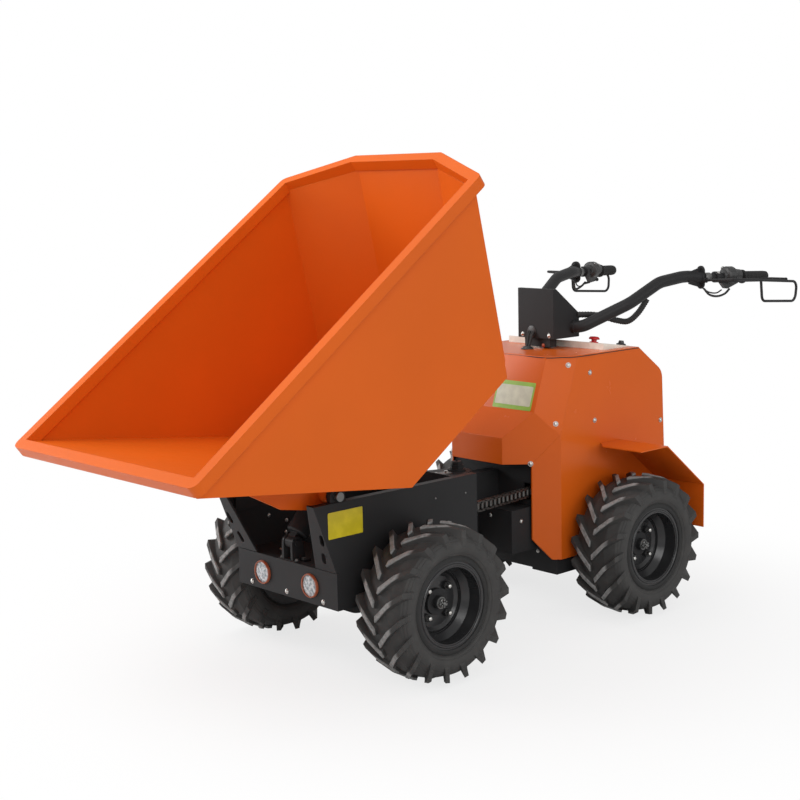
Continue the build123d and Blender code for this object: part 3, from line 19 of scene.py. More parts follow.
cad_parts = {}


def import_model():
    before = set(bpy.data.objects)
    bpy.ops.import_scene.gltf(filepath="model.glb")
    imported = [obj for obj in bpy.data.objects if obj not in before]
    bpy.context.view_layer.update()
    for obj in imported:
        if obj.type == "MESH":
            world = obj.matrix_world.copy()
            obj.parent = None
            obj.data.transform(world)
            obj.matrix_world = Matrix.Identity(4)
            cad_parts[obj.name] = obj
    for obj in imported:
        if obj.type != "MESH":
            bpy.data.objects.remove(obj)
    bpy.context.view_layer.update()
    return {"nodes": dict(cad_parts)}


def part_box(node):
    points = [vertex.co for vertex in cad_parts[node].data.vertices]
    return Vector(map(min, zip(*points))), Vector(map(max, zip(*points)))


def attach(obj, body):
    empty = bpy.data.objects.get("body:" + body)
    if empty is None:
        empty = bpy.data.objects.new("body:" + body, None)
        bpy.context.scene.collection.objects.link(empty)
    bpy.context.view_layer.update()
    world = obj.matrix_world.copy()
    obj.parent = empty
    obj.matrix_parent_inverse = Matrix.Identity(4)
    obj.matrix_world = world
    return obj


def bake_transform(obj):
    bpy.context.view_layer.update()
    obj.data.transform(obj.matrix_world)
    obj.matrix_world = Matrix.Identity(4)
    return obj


Colour = tuple[float, float, float]
Point = tuple[float, float, float]
Pair = tuple[float, float]
Profile = tuple[Pair, ...]
Route = tuple[Point, ...]

LOG = logging.getLogger("dumper")
MM = 0.001

# Axles and sides of the machine, with their places along X and signs of Y, and the axles' height.
AXLES = (("front", 406.5), ("rear", -406.5))
AXLE_Z = 205.0
SIDES = (("left", 1.0), ("right", -1.0))

# Angles of four like screws on a circle.
QUARTERS = (45.0, 135.0, 225.0, 315.0)

AHEAD: Point = (1.0, 0.0, 0.0)
BACK: Point = (-1.0, 0.0, 0.0)
LEFT: Point = (0.0, 1.0, 0.0)
RIGHT: Point = (0.0, -1.0, 0.0)
UP: Point = (0.0, 0.0, 1.0)

# Radius of a turned form's end on its own axis, and the angle over which an edge stays sharp.
TIP = 0.01
SHARP_ANGLE = math.radians(38.0)

# Middle value of a noise texture.
NOISE_MIDDLE = 0.5


# ---- shader building
@dataclass
class Socket:
    """A node's socket in a graph, which does maths: an expression on sockets adds its Math nodes."""

    graph: Graph
    link: Any

    def _math(self, operation: str, *values: Any) -> Socket:
        """Adds a Math node.

        Args:
            operation: The node's operation, such as "ADD".
            values: Its inputs in order, sockets or numbers.

        Returns:
            The node's output.
        """
        return self.graph.node("ShaderNodeMath", {"operation": operation}, dict(enumerate(values)))

    def __add__(self, other: Any) -> Socket:
        """Sum."""
        return self._math("ADD", self, other)

    __radd__ = __add__

    def __sub__(self, other: Any) -> Socket:
        """Difference."""
        return self._math("SUBTRACT", self, other)

    def __mul__(self, other: Any) -> Socket:
        """Product."""
        return self._math("MULTIPLY", self, other)

    def above(self, limit: float) -> Socket:
        """One where the value is over a limit, else zero."""
        return self._math("GREATER_THAN", self, limit)

    def smooth(self, low: float, high: float) -> Socket:
        """Zero at or below low, one at or above high, smooth between."""
        inputs = {0: self, "From Min": low, "From Max": high}
        return self.graph.node("ShaderNodeMapRange", {"interpolation_type": "SMOOTHSTEP"}, inputs)


class Graph:
    """The node tree of one material or world."""

    def __init__(self, owner: Any) -> None:
        """Empties the owner's node tree.

        Args:
            owner: A material or a world.
        """
        owner.use_nodes = True
        self.tree = owner.node_tree
        self.tree.nodes.clear()

    def node(self, kind: str, settings: dict[str, Any] | None = None, inputs: dict[Any, Any] | None = None,
             out: Any = 0) -> Socket:
        """Adds a node, sets it up and links or fills its sockets.

        Args:
            kind: The node's type name.
            settings: Attributes to set first.
            inputs: Socket name or index to a Socket, number or colour.
            out: Name or index of the output to return.

        Returns:
            The wanted output, which wraps None on an output node.
        """
        made = self.tree.nodes.new(kind)
        for name, value in (settings or {}).items():
            setattr(made, name, value)
        for name, value in (inputs or {}).items():
            if isinstance(value, Socket):
                self.tree.links.new(value.link, made.inputs[name])
            else:
                made.inputs[name].default_value = value
        return Socket(self, made.outputs[out] if len(made.outputs) else None)

    def place(self) -> Socket:
        """Position on the piece, in metres."""
        return self.node("ShaderNodeTexCoord", out="Object")

    def noise(self, size: float, detail: float = 2.0, roughness: float = 0.5) -> Socket:
        """Noise with features of about a size.

        Args:
            size: Feature size in metres.
            detail: Octaves.
            roughness: How strong the small octaves are.

        Returns:
            A value around NOISE_MIDDLE.
        """
        inputs = {"Vector": self.place(), "Scale": 1.0 / size, "Detail": detail, "Roughness": roughness}
        return self.node("ShaderNodeTexNoise", {}, inputs)

    def mix(self, mask: Socket, low: Any, high: Any) -> Socket:
        """Colour between two colours.

        Args:
            mask: 0 gives low and 1 gives high.
            low: Colour or socket.
            high: Colour or socket.

        Returns:
            The mixed colour.
        """
        low, high = (part if isinstance(part, Socket) else (*part, 1.0) for part in (low, high))
        # 6, 7 and output 2 are the colour sockets of this node, whose sockets share their names.
        return self.node("ShaderNodeMix", {"data_type": "RGBA"}, {0: mask, 6: low, 7: high}, out=2)

    def bump(self, height: Socket, depth: float, onto: Socket | float) -> Socket:
        """Normal from a height.

        Args:
            height: Height, 0 to 1.
            depth: Depth of the full height in metres.
            onto: Normal to start from, or the radius in metres of the piece's edges.

        Returns:
            The bent normal.
        """
        if not isinstance(onto, Socket):
            onto = self.node("ShaderNodeBevel", {"samples": 6}, {"Radius": onto})
        return self.node("ShaderNodeBump", {}, {"Height": height, "Distance": depth, "Normal": onto})

    def finish(self, **inputs: Any) -> None:
        """Ends the graph in a Principled shader.

        Args:
            inputs: Shader sockets, with underscores for spaces.
        """
        named = {key.replace("_", " "): value for key, value in inputs.items()}
        shader = self.node("ShaderNodeBsdfPrincipled", {}, named)
        self.node("ShaderNodeOutputMaterial", {}, {"Surface": shader})


def shade(colour: Colour, share: float, lift: float = 0.0) -> Colour:
    """A colour made lighter or darker.

    Args:
        colour: The colour.
        share: What it is multiplied by.
        lift: What is added then.

    Returns:
        The new colour, held at white.
    """
    red, green, blue = (min(1.0, part * share + lift) for part in colour)
    return (red, green, blue)


# ---- finishes
@dataclass(frozen=True)
class Finish:
    """Base of every finish: a name that no CAD material has, and a way to make its material."""

    name: str

    def dress(self, graph: Graph) -> None:
        """Fills the graph. Each finish has its own."""
        raise NotImplementedError

    def material(self) -> bpy.types.Material:
        """The finish's material, made once."""
        found = bpy.data.materials.get(self.name)
        if found is None:
            found = bpy.data.materials.new(self.name)
            self.dress(Graph(found))
        return found


@dataclass(frozen=True)
class PowderCoat(Finish):
    """Baked powder coat: slight drift of tone, rubbed gloss and fine orange peel."""

    colour: Colour
    roughness: float
    drift: float
    coat: float = 0.03
    coat_roughness: float = 0.2
    specular: float = 0.14
    edge: float = 0.0015
    tone_size: float = 0.35
    tone_band: Pair = (0.3, 0.7)
    rub: float = 0.12
    rub_size: float = 0.05
    peel: float = 0.00006
    peel_size: float = 0.0016

    def dress(self, graph: Graph) -> None:
        """Builds the coat."""
        tone = graph.noise(self.tone_size, 3.0).smooth(*self.tone_band)
        rubbed = graph.noise(self.rub_size, 4.0, 0.6) - NOISE_MIDDLE
        peel = graph.noise(self.peel_size, 2.0, 0.6)
        dark, light = (shade(self.colour, share) for share in (1.0 - self.drift, 1.0 + self.drift))
        graph.finish(
            Base_Color=graph.mix(tone, dark, light),
            Roughness=self.roughness + rubbed * self.rub,
            Coat_Weight=self.coat,
            Coat_Roughness=self.coat_roughness,
            Specular_IOR_Level=self.specular,
            Normal=graph.bump(peel, self.peel, self.edge),
        )


@dataclass(frozen=True)
class Rubber(Finish):
    """Moulded rubber with a little dust."""

    colour: Colour
    dusting: float
    dust: Colour = (0.10, 0.095, 0.088)
    dust_size: float = 0.06
    dust_band: Pair = (0.45, 0.75)
    roughness: float = 0.62
    patchy: float = 0.2
    specular: float = 0.4
    grain: float = 0.00015
    grain_size: float = 0.0012
    edge: float = 0.0015

    def dress(self, graph: Graph) -> None:
        """Builds the rubber."""
        patches = graph.noise(self.dust_size, 5.0, 0.62)
        grain = graph.noise(self.grain_size, 3.0, 0.6)
        graph.finish(
            Base_Color=graph.mix(patches.smooth(*self.dust_band) * self.dusting, self.colour, self.dust),
            Roughness=self.roughness + patches * self.patchy,
            Specular_IOR_Level=self.specular,
            Normal=graph.bump(grain, self.grain, self.edge),
        )


@dataclass(frozen=True)
class Metal(Finish):
    """Bare or plated metal."""

    colour: Colour
    roughness: float
    stain: float = 0.15
    stain_size: float = 0.02
    stain_band: Pair = (0.35, 0.7)
    patchy: float = 0.15
    grain: float = 0.00002
    grain_size: float = 0.0008
    edge: float = 0.0005

    def dress(self, graph: Graph) -> None:
        """Builds the metal."""
        patches = graph.noise(self.stain_size, 4.0, 0.6)
        clean = patches.smooth(*self.stain_band)
        graph.finish(
            Base_Color=graph.mix(clean, shade(self.colour, 1.0 - self.stain), self.colour),
            Metallic=1.0,
            Roughness=self.roughness + (patches - NOISE_MIDDLE) * self.patchy,
            Normal=graph.bump(graph.noise(self.grain_size), self.grain, self.edge),
        )


@dataclass(frozen=True)
class Plastic(Finish):
    """Moulded plastic with a fine grain."""

    colour: Colour
    roughness: float = 0.4
    patch_size: float = 0.03
    patch_band: Pair = (0.3, 0.8)
    patch_share: float = 1.25
    patch_lift: float = 0.004
    patchy: float = 0.1
    grain: float = 0.00003
    grain_size: float = 0.0009
    edge: float = 0.0008

    def dress(self, graph: Graph) -> None:
        """Builds the plastic."""
        patches = graph.noise(self.patch_size, 3.0)
        light = shade(self.colour, self.patch_share, self.patch_lift)
        graph.finish(
            Base_Color=graph.mix(patches.smooth(*self.patch_band), self.colour, light),
            Roughness=self.roughness + (patches - NOISE_MIDDLE) * self.patchy,
            Normal=graph.bump(graph.noise(self.grain_size), self.grain, self.edge),
        )


@dataclass(frozen=True)
class TyreRubber(Finish):
    """Tyre rubber: scuffed pale lug faces, dust, moulded rings on the side walls."""

    centre: Point
    colour: Colour = (0.036, 0.035, 0.034)
    worn: Colour = (0.27, 0.27, 0.265)
    wear_size: float = 0.012
    wear_band: Pair = (0.32, 0.6)
    wear_least: float = 0.55
    dust: Colour = (0.085, 0.082, 0.077)
    dusting: float = 0.35
    dust_size: float = 0.05
    dust_band: Pair = (0.42, 0.72)
    roughness: float = 0.60
    dust_roughness: float = 0.3
    specular: float = 0.4
    lug_face: float = 0.1975
    lug_fade: float = 0.003
    rings: tuple[float, ...] = (0.127, 0.134, 0.163, 0.170)
    ring_width: float = 0.0022
    ring_slope: float = 0.0006
    ring_height: float = 0.0012
    grain: float = 0.00015
    grain_size: float = 0.0012
    edge: float = 0.002

    def dress(self, graph: Graph) -> None:
        """Builds the rubber."""
        kind = "ShaderNodeVectorMath"
        offset = graph.node(kind, {"operation": "SUBTRACT"}, {0: graph.place(), 1: self.centre})
        across = graph.node(kind, {"operation": "MULTIPLY"}, {0: offset, 1: (1.0, 0.0, 1.0)})
        radius = graph.node(kind, {"operation": "LENGTH"}, {0: across}, out="Value")
        rubbed = graph.noise(self.wear_size, 4.0, 0.6).smooth(*self.wear_band)
        lugs = radius.smooth(self.lug_face, self.lug_face + self.lug_fade)
        lugs = lugs * (rubbed * (1.0 - self.wear_least) + self.wear_least)
        dusty = graph.noise(self.dust_size, 5.0, 0.62).smooth(*self.dust_band) * self.dusting
        ring: Any = 0.0
        for start in self.rings:
            end = start + self.ring_width
            rise = radius.smooth(start, start + self.ring_slope)
            ring = rise - radius.smooth(end, end + self.ring_slope) + ring
        relief = graph.bump(ring, self.ring_height, self.edge)
        graph.finish(
            Base_Color=graph.mix(lugs, graph.mix(dusty, self.colour, self.dust), self.worn),
            Roughness=self.roughness + dusty * self.dust_roughness,
            Specular_IOR_Level=self.specular,
            Normal=graph.bump(graph.noise(self.grain_size, 3.0, 0.6), self.grain, relief),
        )


@dataclass(frozen=True)
class Lens(Finish):
    """Lamp lens: pale pebbled facets over a bright bowl."""

    pale: Colour = (0.56, 0.60, 0.62)
    deep: Colour = (0.20, 0.24, 0.26)
    bowl_size: float = 0.009
    bowl_band: Pair = (0.4, 0.62)
    roughness: float = 0.14
    coat: float = 0.6
    coat_roughness: float = 0.05
    facet: float = 0.0042
    facet_depth: float = 0.0009
    edge: float = 0.0006

    def dress(self, graph: Graph) -> None:
        """Builds the lens."""
        facets = {"Vector": graph.place(), "Scale": 1.0 / self.facet}
        cells = graph.node("ShaderNodeTexVoronoi", {}, facets)
        bowl = graph.noise(self.bowl_size, 3.0).smooth(*self.bowl_band)
        graph.finish(
            Base_Color=graph.mix(bowl, self.pale, self.deep),
            Roughness=self.roughness,
            Coat_Weight=self.coat,
            Coat_Roughness=self.coat_roughness,
            Normal=graph.bump(cells, self.facet_depth, self.edge),
        )


@dataclass(frozen=True)
class Knobs(Finish):
    """Moulded plastic of the panel's knobs: red towards the middle, black at the side."""

    red: Colour = (0.50, 0.012, 0.016)
    black: Colour = (0.018, 0.018, 0.019)
    parting: float = 0.139
    roughness: float = 0.28
    grain: float = 0.00003
    grain_size: float = 0.0009
    edge: float = 0.001

    def dress(self, graph: Graph) -> None:
        """Builds the plastic."""
        across = graph.node("ShaderNodeSeparateXYZ", {}, {0: graph.place()}, out="Y")
        graph.finish(
            Base_Color=graph.mix(across.above(self.parting), self.red, self.black),
            Roughness=self.roughness,
            Normal=graph.bump(graph.noise(self.grain_size), self.grain, self.edge),
        )


ORANGE_PAINT: Colour = (0.65, 0.112, 0.008)


class Palette(Enum):
    """Every finish on the machine, apart from each tyre's own rubber."""

    ORANGE = PowderCoat("orange_coat", ORANGE_PAINT, roughness=0.36, drift=0.03)
    HOOD = PowderCoat("hood_coat", ORANGE_PAINT, roughness=0.25, drift=0.03, coat=0.08, specular=0.2)
    BLACK = PowderCoat("black_coat", (0.025, 0.025, 0.026), roughness=0.45, drift=0.12)
    RIM = PowderCoat("rim_enamel", (0.022, 0.022, 0.023), roughness=0.25, drift=0.1, specular=0.5)
    CAST = PowderCoat("cast_enamel", (0.026, 0.026, 0.027), roughness=0.5, drift=0.2, peel=0.0002)
    GRIP = Rubber("moulded_rubber", (0.018, 0.018, 0.018), dusting=0.1)
    HOSE = Rubber("hose_rubber", (0.022, 0.022, 0.022), dusting=0.15)
    ZINC = Metal("zinc_plate", (0.66, 0.65, 0.62), roughness=0.28)
    DULL = Metal("dull_zinc", (0.24, 0.24, 0.235), roughness=0.45)
    COPPER = Metal("primed_bolt", (0.55, 0.16, 0.10), roughness=0.42)
    CHROME = Metal("hard_chrome", (0.8, 0.8, 0.81), roughness=0.12, stain=0.05)
    CHAIN = Metal("oiled_chain", (0.13, 0.125, 0.12), roughness=0.40)
    POD = Plastic("moulded_black", (0.03, 0.03, 0.03))
    PANEL = Plastic("panel_moulding", (0.74, 0.76, 0.68))
    AMBER = Plastic("lamp_ring", (0.30, 0.075, 0.030), roughness=0.3)
    YELLOW = Plastic("yellow_plate", (0.52, 0.43, 0.010), roughness=0.35)
    GREEN = Plastic("green_plate", (0.22, 0.42, 0.035), roughness=0.35)
    PALE = Plastic("pale_plate", (0.50, 0.52, 0.40), roughness=0.35)
    LENS = Lens("lamp_lens")
    KNOBS = Knobs("knob_moulding")

    @property
    def material(self) -> bpy.types.Material:
        """The finish's material."""
        return self.value.material()


# ---- places and meshes
@dataclass(frozen=True)
class Datum:
    """Turns millimetres about the articulation pivot into the frame's metres."""

    pivot_x: float

    @classmethod
    def found(cls) -> Datum:
        """Reads the pivot's place from its pin."""
        low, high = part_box("pivot_pin")
        return cls((low[0] + high[0]) / 2)

    def at(self, x: float, y: float, z: float) -> Vector:
        """A point of the frame.

        Args:
            x: Forward of the pivot, mm.
            y: To the left, mm.
            z: Above the ground, mm.

        Returns:
            The point in metres.
        """
        return Vector((x * MM + self.pivot_x, y * MM, z * MM))


def sided(point: Point, sign: float) -> Point:
    """A left side's point or direction, on the side of a sign."""
    return (point[0], sign * point[1], point[2])


@dataclass(frozen=True)
class Corner:
    """Where one wheel is: its end and side, its axle's place and its side's sign."""

    name: str
    x: float
    sign: float

    @property
    def ride(self) -> tuple[str, Point]:
        """The wheel's body and outward direction."""
        return f"wheel_{self.name}", (0.0, self.sign, 0.0)

    def spot(self, y: float, radius: float = 0.0, degrees: float = 0.0) -> Point:
        """Point of the wheel.

        Args:
            y: Distance from the machine's middle, mm.
            radius: Off the axle, mm.
            degrees: Angle from ahead, upwards.

        Returns:
            The point, mm.
        """
        turn = math.radians(degrees)
        return (self.x + radius * math.cos(turn), self.sign * y, AXLE_Z + radius * math.sin(turn))


CORNERS = tuple(Corner(f"{end}_{side}", x, sign) for end, x in AXLES for side, sign in SIDES)


def grown(profile: Profile, radius: float) -> list[Pair]:
    """A profile whose radii were counted from a radius."""
    return [(radius + out, height) for out, height in profile]


def spline(points: Sequence[Vector], steps: int) -> list[Vector]:
    """Smooth line through points.

    Args:
        points: Points to pass through.
        steps: Short lengths between two points.

    Returns:
        The line's points.
    """
    held = [points[0] * 2 - points[1], *points, points[-1] * 2 - points[-2]]
    line = []
    for a, b, c, d in zip(held, held[1:], held[2:], held[3:]):
        for step in range(steps):
            t = step / steps
            line.append(0.5 * (2 * b + (c - a) * t + (2 * a - 5 * b + 4 * c - d) * t * t
                               + (3 * b - a - 3 * c + d) * t ** 3))
    return [*line, points[-1]]


@dataclass
class Shape:
    """One piece's mesh, put together from turned, swept and flat forms, in millimetres."""

    datum: Datum
    mesh: bmesh.types.BMesh = field(default_factory=bmesh.new)

    def rings(self, rings: Sequence[Sequence[Vector]], closed: bool = False) -> None:
        """Skins rings of points, and caps the ends unless the row of rings is closed.

        Args:
            rings: Rings of as many points each, in metres.
            closed: Whether the last ring joins the first.
        """
        made = [[self.mesh.verts.new(point) for point in ring] for ring in rings]
        pairs = list(zip(made, made[1:])) + ([(made[-1], made[0])] if closed else [])
        for low, high in pairs:
            for i in range(len(low)):
                j = (i + 1) % len(low)
                self.mesh.faces.new((low[i], low[j], high[j], high[i]))
        if not closed:
            self.mesh.faces.new(made[0][::-1])
            self.mesh.faces.new(made[-1])

    def turned(self, place: Point, axis: Point, profile: Sequence[Pair], sides: int = 20,
               ring: bool = False) -> Shape:
        """Adds a form turned about an axis.

        Args:
            place: Where the axis starts.
            axis: Its direction.
            profile: Radius and height along the axis, from one end to the other.
            sides: Faces round the axis, 6 for a hexagon.
            ring: Whether the profile closes on itself, for a ring with a hole.

        Returns:
            The shape itself.
        """
        turn = Vector(axis).to_track_quat("Z", "Y").to_matrix()
        start = self.datum.at(*place)
        angles = [math.tau * i / sides for i in range(sides)]
        self.rings([[start + turn @ Vector((radius * math.cos(a), radius * math.sin(a), height)) * MM
                     for a in angles] for radius, height in profile], ring)
        return self

    def tube(self, path: Sequence[Point], radius: float, sides: int = 12, steps: int = 6,
             ribs: float = 0.0) -> Shape:
        """Adds a round tube along a smooth path.

        Args:
            path: Points of its centre line.
            radius: Its radius.
            sides: Faces round it.
            steps: Short lengths between two points.
            ribs: How much every other ring is smaller, for a corrugated loom.

        Returns:
            The shape itself.
        """
        line = spline([self.datum.at(*point) for point in path], steps)
        side = (line[1] - line[0]).orthogonal().normalized()
        rings = []
        for index, point in enumerate(line):
            ahead = (line[min(index + 1, len(line) - 1)] - line[max(index - 1, 0)]).normalized()
            side = (side - ahead * side.dot(ahead)).normalized()
            other = ahead.cross(side)
            size = (radius - (ribs if index % 2 else 0.0)) * MM
            rings.append([point + (side * math.cos(a) + other * math.sin(a)) * size
                          for a in (math.tau * i / sides for i in range(sides))])
        self.rings(rings)
        return self

    def piece(self, name: str, finish: Palette, body: str) -> bpy.types.Object:
        """Turns the shape into an object that rides on a body.

        Args:
            name: The piece's name.
            finish: Its finish.
            body: The CAD body that it moves with, or nothing for a piece that rides on no body.

        Returns:
            The object.
        """
        bmesh.ops.recalc_face_normals(self.mesh, faces=self.mesh.faces)
        for edge in self.mesh.edges:
            edge.smooth = not edge.is_manifold or edge.calc_face_angle(0.0) < SHARP_ANGLE
        for face in self.mesh.faces:
            face.smooth = True
        data = bpy.data.meshes.new(name)
        self.mesh.to_mesh(data)
        self.mesh.free()
        data.materials.append(finish.material)
        made = bpy.data.objects.new(name, data)
        bpy.context.collection.objects.link(made)
        if body:
            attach(made, body)
        LOG.info("made %s", name)
        return made


# ---- plates and fasteners
@dataclass(frozen=True)
class Plate:
    """Thin plate with rounded corners, its back sunk in a face of the left side."""

    place: Point
    normal: Point
    size: Pair
    thick: float
    corner: float = 4.0
    corner_steps: int = 4
    sink: float = 0.2

    def shape(self, datum: Datum, sign: float = 1.0) -> Shape:
        """Makes the plate.

        Args:
            datum: The frame's datum.
            sign: 1 on the left, -1 on the right.

        Returns:
            Its shape.
        """
        away = Vector(sided(self.normal, sign)).normalized()
        right = Vector(UP).cross(away)
        right = right.normalized() if right.length > 0.1 else Vector(LEFT)
        up = away.cross(right)
        width, height = (side / 2 - self.corner for side in self.size)
        outline = []
        for quarter, (sx, sy) in enumerate(((1, 1), (-1, 1), (-1, -1), (1, -1))):
            for step in range(self.corner_steps + 1):
                turn = math.tau / 4 * (quarter + step / self.corner_steps)
                outline.append((sx * width + self.corner * math.cos(turn),
                                sy * height + self.corner * math.sin(turn)))
        back, made = datum.at(*sided(self.place, sign)), Shape(datum)
        made.rings([[back + (right * u + up * v + away * depth) * MM for u, v in outline]
                    for depth in (-self.sink, self.thick)])
        return made


class Head(Enum):
    """Fastener heads: profile for a thread radius of one, and faces round it."""

    DOME = (((1.9, 0), (1.9, 0.25), (1.55, 0.25), (1.5, 0.55), (1.2, 0.9), (0.65, 1.12), (TIP, 1.18)), 20)
    HEX = (((1.72, 0.35), (1.72, 1.35), (1.5, 1.5), (TIP, 1.5)), 6)
    WASHER = (((2.1, 0), (2.1, 0.35), (TIP, 0.35)), 20)
    RIVET = (((0.9, 0), (0.8, 0.3), (0.5, 0.5), (TIP, 0.55)), 14)


@dataclass(frozen=True)
class Fastener:
    """One screw, bolt or nut on a face of the left side."""

    place: Point
    normal: Point
    radius: float = 4.0
    head: Head = Head.DOME

    def add(self, shape: Shape, sign: float = 1.0) -> None:
        """Adds the head to a shape, a hexagon with its washer.

        Args:
            shape: The shape it joins.
            sign: 1 on the left, -1 on the right.
        """
        for head in (Head.WASHER, Head.HEX) if self.head is Head.HEX else (self.head,):
            profile, sides = head.value
            scaled = [(radius * self.radius, height * self.radius) for radius, height in profile]
            shape.turned(sided(self.place, sign), sided(self.normal, sign), scaled, sides)


def fasteners(datum: Datum, name: str, body: str, finish: Palette, rows: Sequence[Fastener],
              both: bool = True) -> None:
    """Makes a group of fasteners on one body.

    Args:
        datum: The frame's datum.
        name: The piece's name.
        body: The body that carries them.
        finish: Their finish.
        rows: The fasteners, given on the left side.
        both: Whether those off the middle are on both sides.
    """
    shape = Shape(datum)
    for row in rows:
        row.add(shape)
        if both and row.place[1]:
            row.add(shape, -1.0)
    shape.piece(name, finish, body)


# ---- sub-assemblies
@dataclass
class Hood:
    """Screws, dark strip painting the shadow at the lid's seam, and blank instruction plate of the orange
    hood.
    """

    datum: Datum
    side_y: float = 218.0
    side_screws: tuple[Pair, ...] = ((-325.6, 702.4), (-346.2, 561.6), (-652.2, 524.1))
    cheek_normal: Point = (0.56, 0.81, 0.19)
    cheek_screws: Route = ((-247.3, 204.9, 730.4), (-192.4, 205.1, 569.2))
    corner_normal: Point = (0.71, 0.71, 0)
    corner_screw: Point = (-138.6, 157.1, 456.5)
    rear_normal: Point = (-0.999, 0, 0.048)
    rear_top: Pair = (-660, 674)
    rear_lean: float = 24.0 / 497.0
    rear_screw_y: float = 168.0
    rear_screw_z: tuple[float, ...] = (625, 430, 250)
    # Line and height of the lid's seam, where a dark strip paints the gap's shadow.
    seam_z: float = 752.6
    seam_radius: float = 1.1
    seam: tuple[Pair, ...] = ((-546, 218.2), (-410, 218.2), (-274, 218.2), (-236.5, 192.4),
                              (-199, 166.2), (-198.7, 80))
    border: Plate = Plate((-160.4, 76, 643.4), (0.946, 0, 0.324), (148, 82), 0.5)
    plate: Plate = Plate((-160.4, 76, 643.4), (0.946, 0, 0.324), (136, 58), 0.8)

    def build(self) -> None:
        """Makes the hood's pieces."""
        rows = [Fastener(place, self.cheek_normal) for place in self.cheek_screws]
        rows += [Fastener(self.corner_screw, self.corner_normal)]
        rows += [Fastener((x, self.side_y, z), LEFT) for x, z in self.side_screws]
        x, top = self.rear_top
        rear = [(x - (top - z) * self.rear_lean, self.rear_screw_y, z) for z in self.rear_screw_z]
        rows += [Fastener(place, self.rear_normal) for place in rear]
        fasteners(self.datum, "hood_screws", "rear", Palette.ZINC, rows)
        self.gap_shadow()
        self.border.shape(self.datum).piece("front_plate_border", Palette.GREEN, "rear")
        self.plate.shape(self.datum).piece("front_plate", Palette.PALE, "rear")

    def gap_shadow(self) -> None:
        """Dark rubber strip along the lid's edge: painted shadow of the gap between the lid and the hood's
        walls.
        """
        left = [(x, y, self.seam_z) for x, y in self.seam]
        path = [*left, *[sided(point, -1.0) for point in reversed(left)]]
        # Dark tube along the seam: painted shadow of the gap between the lid and the walls.
        gap_shadow = Shape(self.datum).tube(path, self.seam_radius, sides=8, steps=3)
        gap_shadow.piece("hood_gap_shadow", Palette.HOSE, "rear")


@dataclass
class Wheels:
    """Bolt heads, castle nut, valve, tyre bead and rolled rim edge of each wheel."""

    datum: Datum
    bolt_circle: float = 50.0
    bolt_face_y: float = 344.0
    bolt: Profile = ((6.8, -9.6), (6.8, 0), (6.3, 2.2), (4.6, 3.8), (2.2, 4.6), (TIP, 4.7))
    nut_face_y: float = 348.0
    nut: Profile = ((12.5, 0), (12.5, 7.5), (10.8, 8.5), (TIP, 8.5))
    washer: Profile = ((15.5, 0), (15.5, 1.5), (TIP, 1.5))
    castle_y: float = 356.0
    castle_circle: float = 8.2
    castle_teeth: int = 6
    tooth: Profile = ((2.6, 0), (2.6, 4.5), (1.8, 5.2), (TIP, 5.2))
    stud: Profile = ((5, 0), (5, 6), (3.8, 7.2), (TIP, 7.2))
    cotter: Route = ((-12, 359, -3), (0, 359.5, 0), (14, 358, 4))
    cotter_radius: float = 1.3
    valve_circle: float = 86.0
    valve_y: float = 333.0
    valve_angle: float = -32.0
    valve_lean: float = 0.35
    valve: Profile = ((5.2, -4), (5.2, 2), (3.6, 5), (3.1, 22), (4.1, 22.5), (4.1, 30),
                      (3, 31.5), (TIP, 31.5))
    flange_y: float = 388.5
    bead: Profile = ((112, -1), (112.4, 2.2), (115, 4), (119.5, 4.4), (124, 2), (129, -1.5),
                     (129, -4), (112, -4))
    rim_edge: Profile = ((100.9, -3), (101, 1.2), (102.6, 2.9), (105.6, 2.9), (107.4, 1.2), (107.6, -1))
    ring_sides: int = 72

    def build(self) -> None:
        """Makes every wheel's pieces."""
        for corner in CORNERS:
            self.fastened(corner)
            self.trim(corner)

    def fastened(self, corner: Corner) -> None:
        """Wheel bolts, and the castle nut with its washer, cotter pin and the axle's end.

        Args:
            corner: The wheel's corner.
        """
        body, out = corner.ride
        bolts = Shape(self.datum)
        for degrees in QUARTERS:
            bolts.turned(corner.spot(self.bolt_face_y, self.bolt_circle, degrees), out, self.bolt)
        bolts.piece(f"wheel_bolts_{corner.name}", Palette.ZINC, body)
        seat, nut = corner.spot(self.nut_face_y), Shape(self.datum)
        nut.turned(seat, out, self.nut, 6).turned(seat, out, self.washer)
        for tooth in range(self.castle_teeth):
            degrees = 360.0 / self.castle_teeth * (tooth + 0.5)
            nut.turned(corner.spot(self.castle_y, self.castle_circle, degrees), out, self.tooth, 8)
        nut.turned(corner.spot(self.castle_y), out, self.stud)
        pin = [(corner.x + along, corner.sign * y, AXLE_Z + up) for along, y, up in self.cotter]
        nut.tube(pin, self.cotter_radius, sides=8)
        nut.piece(f"castle_nut_{corner.name}", Palette.DULL, body)

    def trim(self, corner: Corner) -> None:
        """Tyre bead over the rim's flange, the flange's rolled edge, and the leaning valve.

        Args:
            corner: The wheel's corner.
        """
        flange, (body, out) = corner.spot(self.flange_y), corner.ride
        rings = (("bead", self.bead, Palette.GRIP), ("rim_edge", self.rim_edge, Palette.RIM))
        for name, profile, finish in rings:
            ring = Shape(self.datum).turned(flange, out, profile, self.ring_sides, ring=True)
            ring.piece(f"{name}_{corner.name}", finish, body)
        turn = math.radians(self.valve_angle)
        lean = (-self.valve_lean * math.cos(turn), corner.sign, -self.valve_lean * math.sin(turn))
        place = corner.spot(self.valve_y, self.valve_circle, self.valve_angle)
        valve = Shape(self.datum).turned(place, lean, self.valve, 14)
        valve.piece(f"valve_{corner.name}", Palette.HOSE, body)


